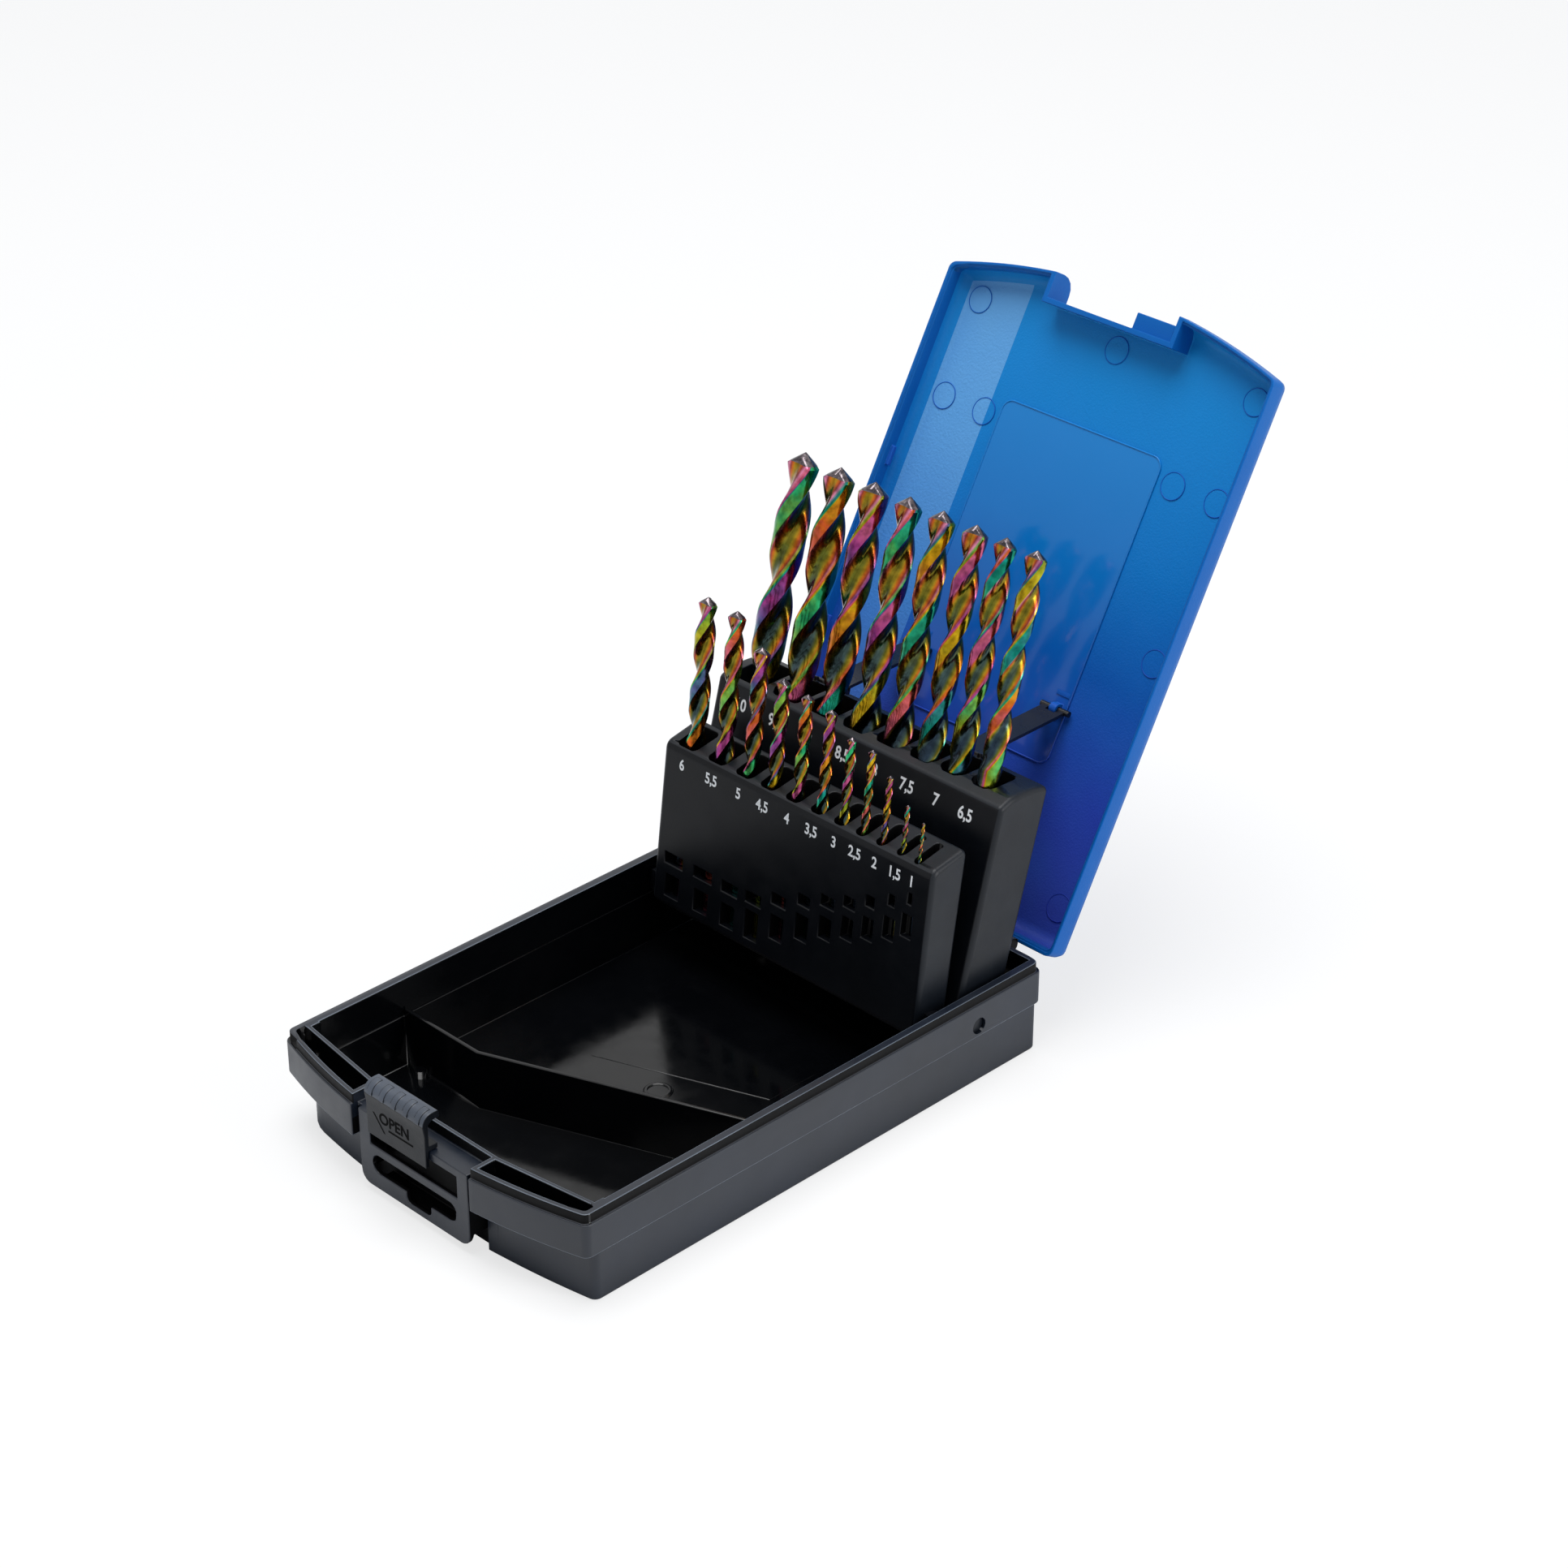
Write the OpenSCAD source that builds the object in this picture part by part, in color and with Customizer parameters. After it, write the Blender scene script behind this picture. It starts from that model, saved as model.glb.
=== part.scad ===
// Drill bit case: a tray base, a hinged blue lid, two racks that fold on one shared
// axis, a sliding latch and nineteen twist drills. Shown open, racks up.
// Millimetres. +Z up, +X to the viewer's right, -Y is the latch side.
// Origin: centre of the base's underside.

/* [Case] */
// width of the base over its band
case_width = 121.6; // [112:0.2:132]
// length along the straight sides, front corner to rear wall
case_length = 171.8; // [165:0.2:180]
// how far the front bows out past its corners
front_bow = 8.8; // [4:0.1:10]
// corner radius seen from above
case_corner = 2.5; // [1.5:0.5:4]
// thickness of the outer walls
wall = 1.6; // [1.2:0.1:2]
// thickness of the tray floor
floor_thick = 1.4; // [1:0.1:1.5]
// height of the base's rim
rim_top = 28.9; // [28.5:0.1:30]
// height of the shoulder on top of the band
shoulder_top = 26.1; // [25:0.1:27]
// height of the lower edge of the band
band_bottom = 15.9; // [13:0.1:16]
// how far the rim stands in from the band
rim_inset = 0.8; // [0.5:0.1:1.2]
// how far the lower body stands in from the band at the sides
body_inset_side = 1.2; // [0.6:0.1:2.4]
// how far the lower body stands in from the band at the front
body_inset_front = 3.7; // [1:0.1:6]
// how far the lower body's front bows out past its corners
body_bow = 6.1; // [3:0.1:9]
// corner radius of the lower body at its front right corner
body_corner_right = 3; // [2:0.5:6]
// corner radius of the lower body at its front left corner
body_corner_left = 14; // [2:0.5:16]
// how far the lower body stands in from the band at the rear
body_inset_rear = 0.6; // [0.4:0.1:3]
// bevel round the underside
foot_bevel = 0.5; // [0.3:0.1:3]

/* [Tray] */
// from the band's side to the tray's inside
tray_margin = 3.9; // [3.8:0.1:5]
// height of the rib across the tray
rib_top = 19.7; // [16:0.1:20]
// thickness of the rib
rib_thick = 1.3; // [1:0.1:2]
// place of the rib at the left wall
rib_left = -47.6; // [-52:0.5:-44]
// place of the rib at the right wall
rib_right = -14.6; // [-18:0.5:-14]
// where the rib bends
rib_bend = -26.4; // [-32:0.2:-20]
// thickness of the inner front wall
inner_wall = 1.4; // [1:0.1:2]
// height of the pads on the floor
floor_pad = 0.2; // [0.1:0.05:0.3]

/* [Latch] */
// half the width of the recess for the latch
recess_half = 23.7; // [23:0.1:25]
// half the width of the latch's guide plate
plate_half = 22; // [21:0.1:22.4]
// thickness of the guide plate
plate_thick = 1.5; // [1.2:0.1:2]
// lower edge of the guide plate
plate_bottom = 2.5; // [1:0.1:4]
// top of the guide plate's rail
rail_top = 25.6; // [24:0.1:26]
// depth of the rail
rail_depth = 2.6; // [2:0.1:5]
// width of the latch
latch_width = 23.8; // [20:0.1:24.4]
// left edge of the latch as photographed
latch_left = -16.5; // [-18:0.1:-16]
// travel of the latch to the right
latch_travel = 15.8; // [14:0.1:16]
// top of the latch
latch_top = 37.3; // [36.5:0.1:38]
// lower edge of the latch
latch_bottom = 21; // [19:0.1:21.4]
// play all round the latch
latch_play = 0.2; // [0.15:0.05:0.3]

/* [Lid] */
// how far the lid stands open
lid_open = 119.6; // [100:0.1:125]
// depth of the lid outside
lid_depth = 10; // [9.6:0.1:12]
// rounding along the lid's outer edges
lid_fillet = 5.5; // [3:0.5:7]
// gap between the lid's rim and the base's rim when shut
rim_gap = 0.25; // [0.15:0.05:0.3]
// hinge axis behind the base's rear wall
hinge_behind = 1; // [0.8:0.1:1.4]
// height of the lid's hinge axis
hinge_z = 28; // [27.6:0.1:28.2]
// outer radius of the hinge knuckles
knuckle_radius = 2.2; // [2:0.1:2.4]
// radius of the hinge pins
hinge_pin_radius = 1.15; // [0.9:0.05:1.3]
// distance of each hinge from the middle
hinge_spread = 38; // [30:1:46]
// width of a lid knuckle
lid_knuckle = 10; // [8:0.5:14]
// width of a base knuckle
base_knuckle = 5; // [4:0.5:7]
// half the width of the notch for the latch
notch_half = 22.9; // [22.5:0.1:24]
// half the width of the label panel
panel_half = 30; // [24:1:36]
// label panel's nearer edge, measured from the hinge axis
panel_near = 48.8; // [40:0.2:56]
// from the lid's front corners to the label panel's farther edge
panel_margin = 31.3; // [24:0.1:42]
// step of the label panel
panel_step = 0.25; // [0.15:0.05:0.4]

/* [Racks] */
// racks' shared axis ahead of the base's rear wall
pivot_ahead = 26; // [25:0.1:28]
// height of the racks' shared axis
pivot_z = 19.4; // [19.2:0.1:20]
// radius of the stub axles
axle_radius = 2.43; // [2:0.01:2.6]
// radial clearance round the stub axles
axle_clear = 0.07; // [0.03:0.01:0.1]
// from the tray's side to the front rack
front_side_gap = 4.2; // [3.6:0.1:6]
// lean of the front rack
front_lean = 7.25; // [5:0.25:9]
// front face of the front rack ahead of the axis
front_face = 17.5; // [17:0.1:17.6]
// height of the front rack's top front edge above the axis
front_top = 48.2; // [46:0.1:50]
// rise of the front rack's top from front to rear
front_rise = 3.8; // [2:0.1:5]
// from the tray's side to the rear rack
rear_side_gap = 1.7; // [1.6:0.1:2.4]
// lean of the rear rack
rear_lean = 15; // [12:0.5:16]
// front face of the rear rack ahead of the axis
rear_face = 3.75; // [3:0.05:4]
// rear face of the rear rack behind the axis at its top
rear_back = 15.5; // [14.6:0.1:15.6]
// height of the rear rack's top front edge above the axis
rear_top = 63.4; // [60:0.1:65]
// how far the rear rack folds down
rear_fold = 103.6; // [100:0.1:103.8]
// how far the front rack folds down
front_fold = 97.25; // [94:0.25:97.25]
// rounding of the racks' side edges
rack_round = 1.6; // [1:0.1:1.8]
// radius of the front rack's side ears
ear_radius = 4.6; // [4:0.1:5]

/* [Link arms] */
// width of a link arm
arm_width = 8; // [6:0.5:9]
// thickness of a link arm
arm_thick = 1; // [0.8:0.1:1.1]
// middle of each link arm from the centre
arm_place = 27; // [24:0.5:30]
// lid end of the arm, measured from the hinge axis along the lid
arm_lid_along = 65; // [63:0.5:67]
// lid end of the arm above the hinge axis with the lid shut
arm_lid_up = 8; // [7.6:0.1:8.1]
// rack end of the arm above the racks' axis
arm_rack_along = 67; // [66:0.1:68]
// rack end of the arm behind the racks' axis
arm_rack_back = 13.8; // [13:0.1:14]
// radius of the arm's cross bars
bar_radius = 0.9; // [0.7:0.05:1]
// running clearance of the arm's lid bar
bar_clear = 0.07; // [0.03:0.01:0.1]

/* [Drills] */
// clearance of a drill in its pocket
pocket_clear = 0.3; // [0.2:0.05:0.5]
// gap under a standing drill
seat_gap = 0.05; // [0.02:0.01:0.3]
// width of a front pocket over its drill's diameter
front_slot_extra = 1.8; // [1:0.1:2.4]
// width of a rear pocket over its drill's diameter
rear_slot_extra = 2.2; // [1.4:0.1:2.6]
// core of a drill as a share of its radius
core_share = 0.42; // [0.3:0.01:0.6]
// angle of a drill's point
point_angle = 118; // [110:1:135]

/* [Hidden] */
eps = 0.01;
// general gap between pieces on different bodies
body_gap = 0.3;
half_width = case_width / 2;
rear_edge = case_length / 2;
front_edge = -case_length / 2;
hinge_y = rear_edge + hinge_behind;
pivot_y = rear_edge - pivot_ahead;
tray_half = half_width - tray_margin;
tray_rear = rear_edge - rim_inset - wall;
// the recess back wall and the tray's inner front wall
recess_back = front_edge + 0.6;
tray_front_mid = recess_back + inner_wall;
tray_front_side = front_edge + 6.4;
// guide plate of the latch
plate_set = 2.4;
plate_front = front_edge - front_bow + plate_set;
plate_back = plate_front + plate_thick;
// lid, measured with the lid shut
lid_rim = rim_top + rim_gap;
lid_top = lid_rim + lid_depth;
lid_ceiling = lid_top - wall;
lid_rear = rear_edge - body_gap;
notch_back = recess_back - 0.4;
panel_far = hinge_y - front_edge - panel_margin;
rim_step = 0.9;
tongue_reach = 4.9;
tongue_left = 6.2;
// hooks under the lid that hold the link arms' bars
hook_half = 1.2;
hook_skin = 0.75;
front_width = 2 * (tray_half - front_side_gap);
rear_width = 2 * (tray_half - rear_side_gap);
ear_thick = rear_side_gap - 2 * body_gap;
// shut, the rear of the rack passes under the arms at this depth
arm_groove = arm_rack_back - bar_radius - body_gap;
rear_low_back = rear_back - 1;
// the drills' places are given for this width of case and move with it
places_for_width = 121.6;
spread = case_width / places_for_width;
// [diameter, length, flute length, x place, seat depth below the top front edge]
front_drills = [
  [6, 93, 57, -45, 47.5], [5.5, 93, 57, -33, 47.5], [5, 86, 52, -22, 47.5],
  [4.5, 80, 47, -12.4, 47.4], [4, 75, 43, -2.6, 43.5], [3.5, 70, 39, 6.9, 39.5],
  [3, 61, 33, 15.7, 35.4], [2.5, 57, 30, 23.8, 32], [2, 49, 24, 31.3, 28.8],
  [1.5, 40, 18, 38.9, 25.5], [1, 34, 12, 45.3, 22.2]];
rear_drills = [
  [10, 133, 87, -44.6, 64.2], [9.5, 125, 81, -30.5, 56.2], [9, 125, 81, -17, 56.2],
  [8.5, 117, 75, -3.7, 48.2], [8, 117, 75, 8.9, 48.2], [7.5, 109, 69, 21.3, 40.2],
  [7, 109, 69, 32.3, 40.2], [6.5, 101, 63, 43.4, 32.2]];
// [height of the upper window's middle, its width] below the top front edge
upper_windows = [
  [35.6, 7.2], [35.3, 7.4], [35.3, 6.3], [34.5, 6.2], [31, 5.5], [27.1, 4.5],
  [23.8, 5.3], [20.7, 4.5], [17.2, 3.2], [13.6, 2.3], [10.5, 1.5]];
// [top, bottom, width] of the lower window, below the top front edge
lower_windows = [
  [40.5, 47.5, 5.6], [40.6, 47.5, 5.4], [40.4, 47.5, 5.2], [38.5, 47.4, 5],
  [36, 43.5, 4.8], [31.6, 39.5, 4.6], [28.7, 35.4, 4.5], [25.3, 32, 4.4],
  [22.2, 28.8, 4.2], [18.9, 25.5, 4.1], [15.4, 22.2, 4]];
upper_window_height = 3.4;
// walls in front of and behind the front rack's pockets
front_wall = 1;
front_back_wall = 6.8;
// wall in front of a front-rack drill, and the rear drills' line behind the axis
front_skin = 1.9;
rear_line = 3.3;
lid_colour = "#1b66b8";
case_colour = "#23262b";
rack_colour = "#1c1e22";
steel_colour = "#8f8a78";

// ---------------------------------------------------------------- outlines

function arc(cx, cy, r, from, to, steps) =
  [for (i = [0:steps]) let (a = from + (to - from) * i / steps)
    [cx + r * cos(a), cy + r * sin(a)]];

// the case seen from above: straight sides and rear, bowed front
function case_outline(side = 0, front = 0, rear = 0, bow = front_bow,
    left = case_corner, right = case_corner) =
  let (
    w = half_width - side,
    big = (half_width * half_width + bow * bow) / (2 * bow),
    cy = front_edge - bow + big,
    reach = big - front,
    c = max(case_corner - side / 2, 0.6),
    r = max(right - side / 2, 0.6),
    l = max(left - side / 2, 0.6),
    // middles of the front corners, where they meet the bow
    yr = cy - sqrt((reach - r) * (reach - r) - (w - r) * (w - r)),
    yl = cy - sqrt((reach - l) * (reach - l) - (w - l) * (w - l)),
    turn_right = atan2(yr - cy, w - r),
    turn_left = atan2(yl - cy, w - l),
    back = rear_edge - rear
  )
  concat(
    arc(0, cy, reach, -180 - turn_left, turn_right, 28),
    arc(w - r, yr, r, turn_right, 0, 5),
    arc(w - c, back - c, c, 0, 90, 5),
    arc(-w + c, back - c, c, 90, 180, 5),
    arc(-w + l, yl, l, 180, 180 - turn_left, 7));

// the lower body seen from above
function body_outline(inset = 0) =
  case_outline(body_inset_side + inset, body_inset_front + inset, body_inset_rear + inset,
    body_bow, body_corner_left, body_corner_right);

function rounded(x0, y0, x1, y1, r, steps = 5) =
  concat(
    arc(x1 - r, y0 + r, r, -90, 0, steps),
    arc(x1 - r, y1 - r, r, 0, 90, steps),
    arc(x0 + r, y1 - r, r, 90, 180, steps),
    arc(x0 + r, y0 + r, r, 180, 270, steps));

// a block from one corner to the other
module block(low, high) {
  translate(low) cube(high - low);
}

// a section in the y-z plane, drawn along x
module along_x(x0, x1, points) {
  translate([x0, 0, 0])
    rotate([90, 0, 90])
      linear_extrude(x1 - x0) polygon(points);
}

module rod_x(x0, x1, y, z, r) {
  translate([x0, y, z]) rotate([0, 90, 0]) cylinder(r = r, h = x1 - x0, $fn = 48);
}

// ---------------------------------------------------------------- base

hinge_half = lid_knuckle / 2 + body_gap;
// ledge along the tray's side walls
ledge = 0.5;
ledge_height = 17.5;

module base_shell() {
  hull() {
    linear_extrude(eps)
      polygon(body_outline(foot_bevel));
    translate([0, 0, foot_bevel])
      linear_extrude(band_bottom + eps - foot_bevel)
        polygon(body_outline());
  }
  translate([0, 0, band_bottom])
    linear_extrude(shoulder_top - band_bottom) polygon(case_outline());
  translate([0, 0, band_bottom])
    linear_extrude(rim_top - band_bottom)
      polygon(case_outline(rim_inset, rim_inset, rim_inset));
}

// the tray's inside seen from above, its front drawn in towards the corners
module tray_plan() {
  bend = recess_half + 1.5;
  polygon([[-tray_half, tray_front_side], [-bend, tray_front_mid],
    [bend, tray_front_mid], [tray_half, tray_front_side],
    [tray_half, tray_rear], [-tray_half, tray_rear]]);
}

module trough_plan() {
  bend = recess_half + 1.5;
  difference() {
    polygon(case_outline(rim_inset + wall, rim_inset + wall, rim_inset));
    polygon([[-half_width, tray_front_side - inner_wall],
      [-tray_half, tray_front_side - inner_wall],
      [-bend, tray_front_mid - inner_wall], [bend, tray_front_mid - inner_wall],
      [tray_half, tray_front_side - inner_wall],
      [half_width, tray_front_side - inner_wall],
      [half_width, rear_edge + wall], [-half_width, rear_edge + wall]]);
    translate([-recess_half - wall, front_edge - 2 * front_bow])
      square([2 * (recess_half + wall), 4 * front_bow]);
  }
}

module rib() {
  slope = (rib_right - rib_left) / (tray_half - rib_bend);
  lean = rib_thick * sqrt(1 + slope * slope);
  translate([0, 0, floor_thick - eps])
    linear_extrude(rib_top - floor_thick + eps)
      polygon([[-tray_half - eps, rib_left], [rib_bend, rib_left],
        [tray_half + eps, rib_right], [tray_half + eps, rib_right + lean],
        [rib_bend - rib_thick * slope / 2, rib_left + rib_thick],
        [-tray_half - eps, rib_left + rib_thick]]);
}

module floor_details() {
  pad_left = -24;
  pad_right = 27;
  pad_rear = pivot_y - front_face - 3.4;
  // the pad's front edge slants like the rib
  pad_front = [[pad_left, rib_left + 39.6], [pad_right, rib_right + 26.6]];
  ring_place = [2.3, -7];
  ring_outer = 8;
  ring_inner = 6.2;
  stud = 3.2;
  stud_height = 2.4;
  translate([0, 0, floor_thick - eps]) {
    linear_extrude(floor_pad + eps)
      polygon(concat([[pad_left, pad_rear]], pad_front, [[pad_right, pad_rear]]));
    difference() {
      translate(ring_place) cylinder(d = ring_outer, h = 3 * floor_pad, $fn = 40);
      translate([ring_place[0], ring_place[1], floor_pad])
        cylinder(d = ring_inner, h = ring_outer, $fn = 40);
    }
    // stud in the corner of the rib
    translate([7.3 - tray_half, rib_left - 1.3, 0])
      cylinder(d = stud, h = stud_height, $fn = 24);
  }
}

module latch_plate() {
  post = 4.4;
  slot_half = plate_half - post;
  slot_bottom = band_bottom + 0.2;
  rail_bottom = rail_top - rail_depth;
  shelf = 1;
  web = 1.8;
  // lower window: its sides, bottom and top, and the notch in its lower edge
  hang = [-slot_half + 0.6, plate_bottom + 5.1, slot_half - 0.6, slot_bottom - 2.7];
  notch = [-3.4, plate_bottom + 1.9, 6.5, plate_bottom + 7.5];
  difference() {
    translate([0, plate_back, 0])
      rotate([90, 0, 0])
        linear_extrude(plate_thick)
          difference() {
            union() {
              polygon(rounded(-plate_half, plate_bottom, plate_half,
                rail_bottom, 3.5));
              translate([-plate_half, slot_bottom])
                square([2 * plate_half, rail_top - slot_bottom]);
            }
            // the window that the latch's foot slides in
            translate([-slot_half, slot_bottom])
              square([2 * slot_half, rail_bottom - slot_bottom]);
            // the hanging window
            polygon(rounded(hang[0], hang[1], hang[2], hang[3], 2.8));
            polygon(rounded(notch[0], notch[1], notch[2], notch[3], 1.7));
          }
  }
  // shelf that joins the rail to the recess's back wall
  block([-recess_half - eps, plate_back - eps, rail_top - shelf],
    [recess_half + eps, recess_back + eps, rail_top]);
  // webs that carry the plate on the recess's back wall
  for (side = [-1, 1])
    block([side > 0 ? plate_half - web : -plate_half, plate_back - eps, plate_bottom + 2 * web],
      [side > 0 ? plate_half : -plate_half + web, recess_back + eps, latch_bottom - web]);
  // floor of the recess, under the windows
  block([-slot_half, plate_back - eps, plate_bottom],
    [slot_half, recess_back + eps, plate_bottom + floor_thick]);
}

module base_knuckles() {
  for (s = [-1, 1]) translate([s * hinge_spread, 0, 0]) {
    for (t = [-1, 1]) {
      x0 = t > 0 ? hinge_half : -hinge_half - base_knuckle;
      rod_x(x0, x0 + base_knuckle, hinge_y, hinge_z, knuckle_radius);
      block([x0, rear_edge - rim_inset - eps, hinge_z - 2 * knuckle_radius],
        [x0 + base_knuckle, hinge_y + knuckle_radius * 0.6, hinge_z]);
    }
    rod_x(-hinge_half - eps, hinge_half + eps, hinge_y, hinge_z, hinge_pin_radius);
  }
}

module base() {
  color(case_colour) {
    difference() {
      union() {
        difference() {
          base_shell();
          // the tray keeps its wall inside the lower body, and is wider in the band
          translate([0, 0, floor_thick])
            linear_extrude(band_bottom + wall + eps - floor_thick)
              intersection() {
                tray_plan();
                polygon(body_outline(wall));
              }
          translate([0, 0, band_bottom + wall]) linear_extrude(rim_top) tray_plan();
          translate([0, 0, band_bottom + 1.2]) linear_extrude(rim_top) trough_plan();
          // upper part of the side walls is a little thinner
          translate([-tray_half - ledge, tray_front_side + 6 * ledge, ledge_height])
            cube([2 * (tray_half + ledge), tray_rear - tray_front_side - 6 * ledge, rim_top]);
          // recess for the latch
          block([-recess_half, front_edge - 2 * front_bow, -1],
            [recess_half, recess_back, rim_top + 1]);
          // room for the lid's knuckles
          for (s = [-1, 1])
            rod_x(s * hinge_spread - hinge_half, s * hinge_spread + hinge_half,
              hinge_y, hinge_z, knuckle_radius + body_gap);
        }
        latch_plate();
        base_knuckles();
      }
      // holes for the racks' stub axles
      rod_x(-half_width - 1, half_width + 1, pivot_y, pivot_z,
        axle_radius + axle_clear);
    }
    rib();
    floor_details();
  }
}

// ---------------------------------------------------------------- lid

// carries what is drawn shut to where the open lid stands
module lid_pose() {
  translate([0, hinge_y, hinge_z])
    rotate([-lid_open, 0, 0])
      translate([0, -hinge_y, -hinge_z]) children();
}

module lid_solid(inset, low, high, fillet) {
  steps = 4;
  hull() {
    translate([0, 0, low])
      linear_extrude(high - fillet - low) polygon(case_outline(inset, inset, inset + 0.3));
    for (i = [1:steps])
      let (a = 90 * i / steps, k = fillet * (1 - cos(a)) + inset)
        translate([0, 0, high - fillet + fillet * sin(a) - eps])
          linear_extrude(eps) polygon(case_outline(k, k, k + 0.3));
  }
}

module lid_clips() {
  tab_half = 3;
  tab_reach = 1.2;
  tab_low = lid_rim + 2.6;
  tab_high = lid_rim + 4;
  // small tabs on the side walls, behind the label panel and two thirds along it
  for (s = [-1, 1], y = [hinge_y - panel_near - 11.2, hinge_y - panel_far + 28]) {
    x = s * (half_width - wall + eps);
    block([min(x, x - s * tab_reach), y - tab_half, tab_low],
      [max(x, x - s * tab_reach), y + tab_half, tab_high]);
  }
  // moulding marks in rows, from the front edge and from the hinge
  mark = 8;
  mark_rise = 0.15;
  far_row = front_edge + 7.4;
  panel_row = hinge_y - panel_far + 6;
  middle_row = (far_row + hinge_y) / 2 - 5;
  near_row = hinge_y - 13.9;
  mark_side = half_width - 9;
  for (m = [[-mark_side, far_row], [1, far_row], [mark_side, far_row],
      [-mark_side, panel_row], [-panel_half - 6, panel_row], [panel_half + 6, panel_row],
      [mark_side, panel_row], [mark_side, middle_row],
      [-mark_side, near_row], [mark_side, near_row]])
    translate([m[0], m[1], lid_ceiling - mark_rise])
      cylinder(d = mark, h = 2 * mark_rise, $fn = 40);
  // one hook for each link arm's bar, through the hole in the arm
  for (s = [-1, 1]) {
    x = s * arm_place;
    y = hinge_y - arm_lid_along;
    z = hinge_z + arm_lid_up;
    r = bar_radius + bar_clear + hook_skin;
    difference() {
      union() {
        rod_x(x - hook_half, x + hook_half, y, z, r);
        block([x - hook_half, y - r, z], [x + hook_half, y + r, lid_ceiling + eps]);
      }
      rod_x(x - 2 * hook_half, x + 2 * hook_half, y, z, bar_radius + bar_clear);
    }
  }
  // a low stop beside each arm
  stop_half = 2.4;
  stop_near = hinge_y - arm_lid_along - 4;
  for (s = [-1, 1])
    block([s * arm_place - stop_half, stop_near - 1.4, lid_ceiling - 0.5],
      [s * arm_place + stop_half, stop_near, lid_ceiling + eps]);
}

module lid_hinge() {
  for (s = [-1, 1]) translate([s * hinge_spread, 0, 0])
    difference() {
      union() {
        rod_x(-lid_knuckle / 2, lid_knuckle / 2, hinge_y, hinge_z, knuckle_radius);
        block([-lid_knuckle / 2, lid_rear - wall, lid_rim],
          [lid_knuckle / 2, hinge_y, lid_rim + 4]);
        block([-lid_knuckle / 2, hinge_y - 1, hinge_z],
          [lid_knuckle / 2, hinge_y + knuckle_radius, lid_rim + 3]);
      }
      rod_x(-lid_knuckle, lid_knuckle, hinge_y, hinge_z, hinge_pin_radius + axle_clear);
    }
}

// tongue in the notch, that the latch holds down
module lid_tongue() {
  block([tongue_left, notch_back - tongue_reach, lid_rim + 3.9],
    [notch_half - 2.6, notch_back + eps, lid_rim + 5.3]);
}

module lid_shut() {
  keep_half = notch_half + wall;
  difference() {
    union() {
      difference() {
        lid_solid(0, lid_rim, lid_top, lid_fillet);
        difference() {
          union() {
            lid_solid(wall, lid_rim - 1, lid_ceiling, lid_fillet - wall);
            // the rim is stepped: a thin outer edge and an inner land
            translate([0, 0, lid_rim - 1])
              linear_extrude(1 + 0.8) polygon(case_outline(rim_step, rim_step, rim_step + 0.3));
          }
          block([-keep_half, front_edge - 3 * front_bow, 0],
            [keep_half, notch_back + wall, lid_top + 1]);
        }
      }
      // the label panel stands in from the ceiling
      translate([0, 0, lid_ceiling - panel_step])
        linear_extrude(panel_step + eps)
          polygon(rounded(-panel_half, hinge_y - panel_far, panel_half,
            hinge_y - panel_near, 3.5));
      lid_tongue();
    }
    // notch that the latch stands in
    difference() {
      block([-notch_half, front_edge - 3 * front_bow, 0],
        [notch_half, notch_back, lid_top + 1]);
      lid_tongue();
    }
    // label panel outside
    translate([0, 0, lid_top - panel_step])
      linear_extrude(1)
        polygon(rounded(-panel_half, hinge_y - panel_far, panel_half,
          hinge_y - panel_near, 3.5));
    // room for the base's knuckles and pins
    for (s = [-1, 1])
      rod_x(s * hinge_spread - hinge_half - base_knuckle - body_gap,
        s * hinge_spread + hinge_half + base_knuckle + body_gap,
        hinge_y, hinge_z, knuckle_radius + body_gap);
  }
  lid_clips();
  lid_hinge();
}

module lid() {
  color(lid_colour) lid_pose() lid_shut();
}

// ---------------------------------------------------------------- latch

module latch() {
  f = plate_front - latch_play;
  b = plate_back + latch_play;
  skin = 1.2;
  foot_half = 6;
  roll = 3.2;
  bulge = 0.5;
  rib_rise = 0.3;
  rib_width = 2;
  h = recess_back - 3.1;
  cap = 1.2;
  mid = latch_width / 2;
  over = rail_top + latch_play;
  color(case_colour) translate([latch_left, 0, 0]) {
    along_x(0, latch_width, concat(
      [[f, latch_bottom], [f, over], [b + skin, over], [b + skin, over + 1.6],
        [f + 0.2, over + 1.6], [f + 0.2, latch_top - 3.4],
        [f + 1.4, latch_top - 2 * cap], [h, latch_top - 2.2], [h, latch_top - 1]],
      arc(h - 1, latch_top - 1, 1, 0, 90, 4),
      arc(f - skin - bulge + roll, latch_top - roll, roll, 90, 190, 8),
      [[f - skin, latch_top - 2 * roll], [f - skin, latch_bottom]]));
    // foot through the guide's window, with a lip that hooks up behind the rail
    block([mid - foot_half, f - eps, latch_bottom],
      [mid + foot_half, b + skin, rail_top - rail_depth - latch_play]);
    block([mid - foot_half, b, latch_bottom],
      [mid + foot_half, b + skin, rail_top - 1 - body_gap]);
    // grip ribs across the rolled top
    for (i = [0:4])
      let (x = (i + 0.5) * latch_width / 5 - rib_width / 2)
        along_x(x, x + rib_width, concat(
          arc(f - skin - bulge + roll, latch_top - roll, roll + rib_rise, 80, 175, 8),
          [[f, latch_top - roll], [f + roll, latch_top - 1]]));
  }
}

// ---------------------------------------------------------------- racks

// local frame of a rack: x, back from the axis, up from the axis
module rack_pose(lean) {
  translate([0, pivot_y, pivot_z]) rotate([-lean, 0, 0]) children();
}

function front_axis(d) = -front_face + front_skin + d / 2;

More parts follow.
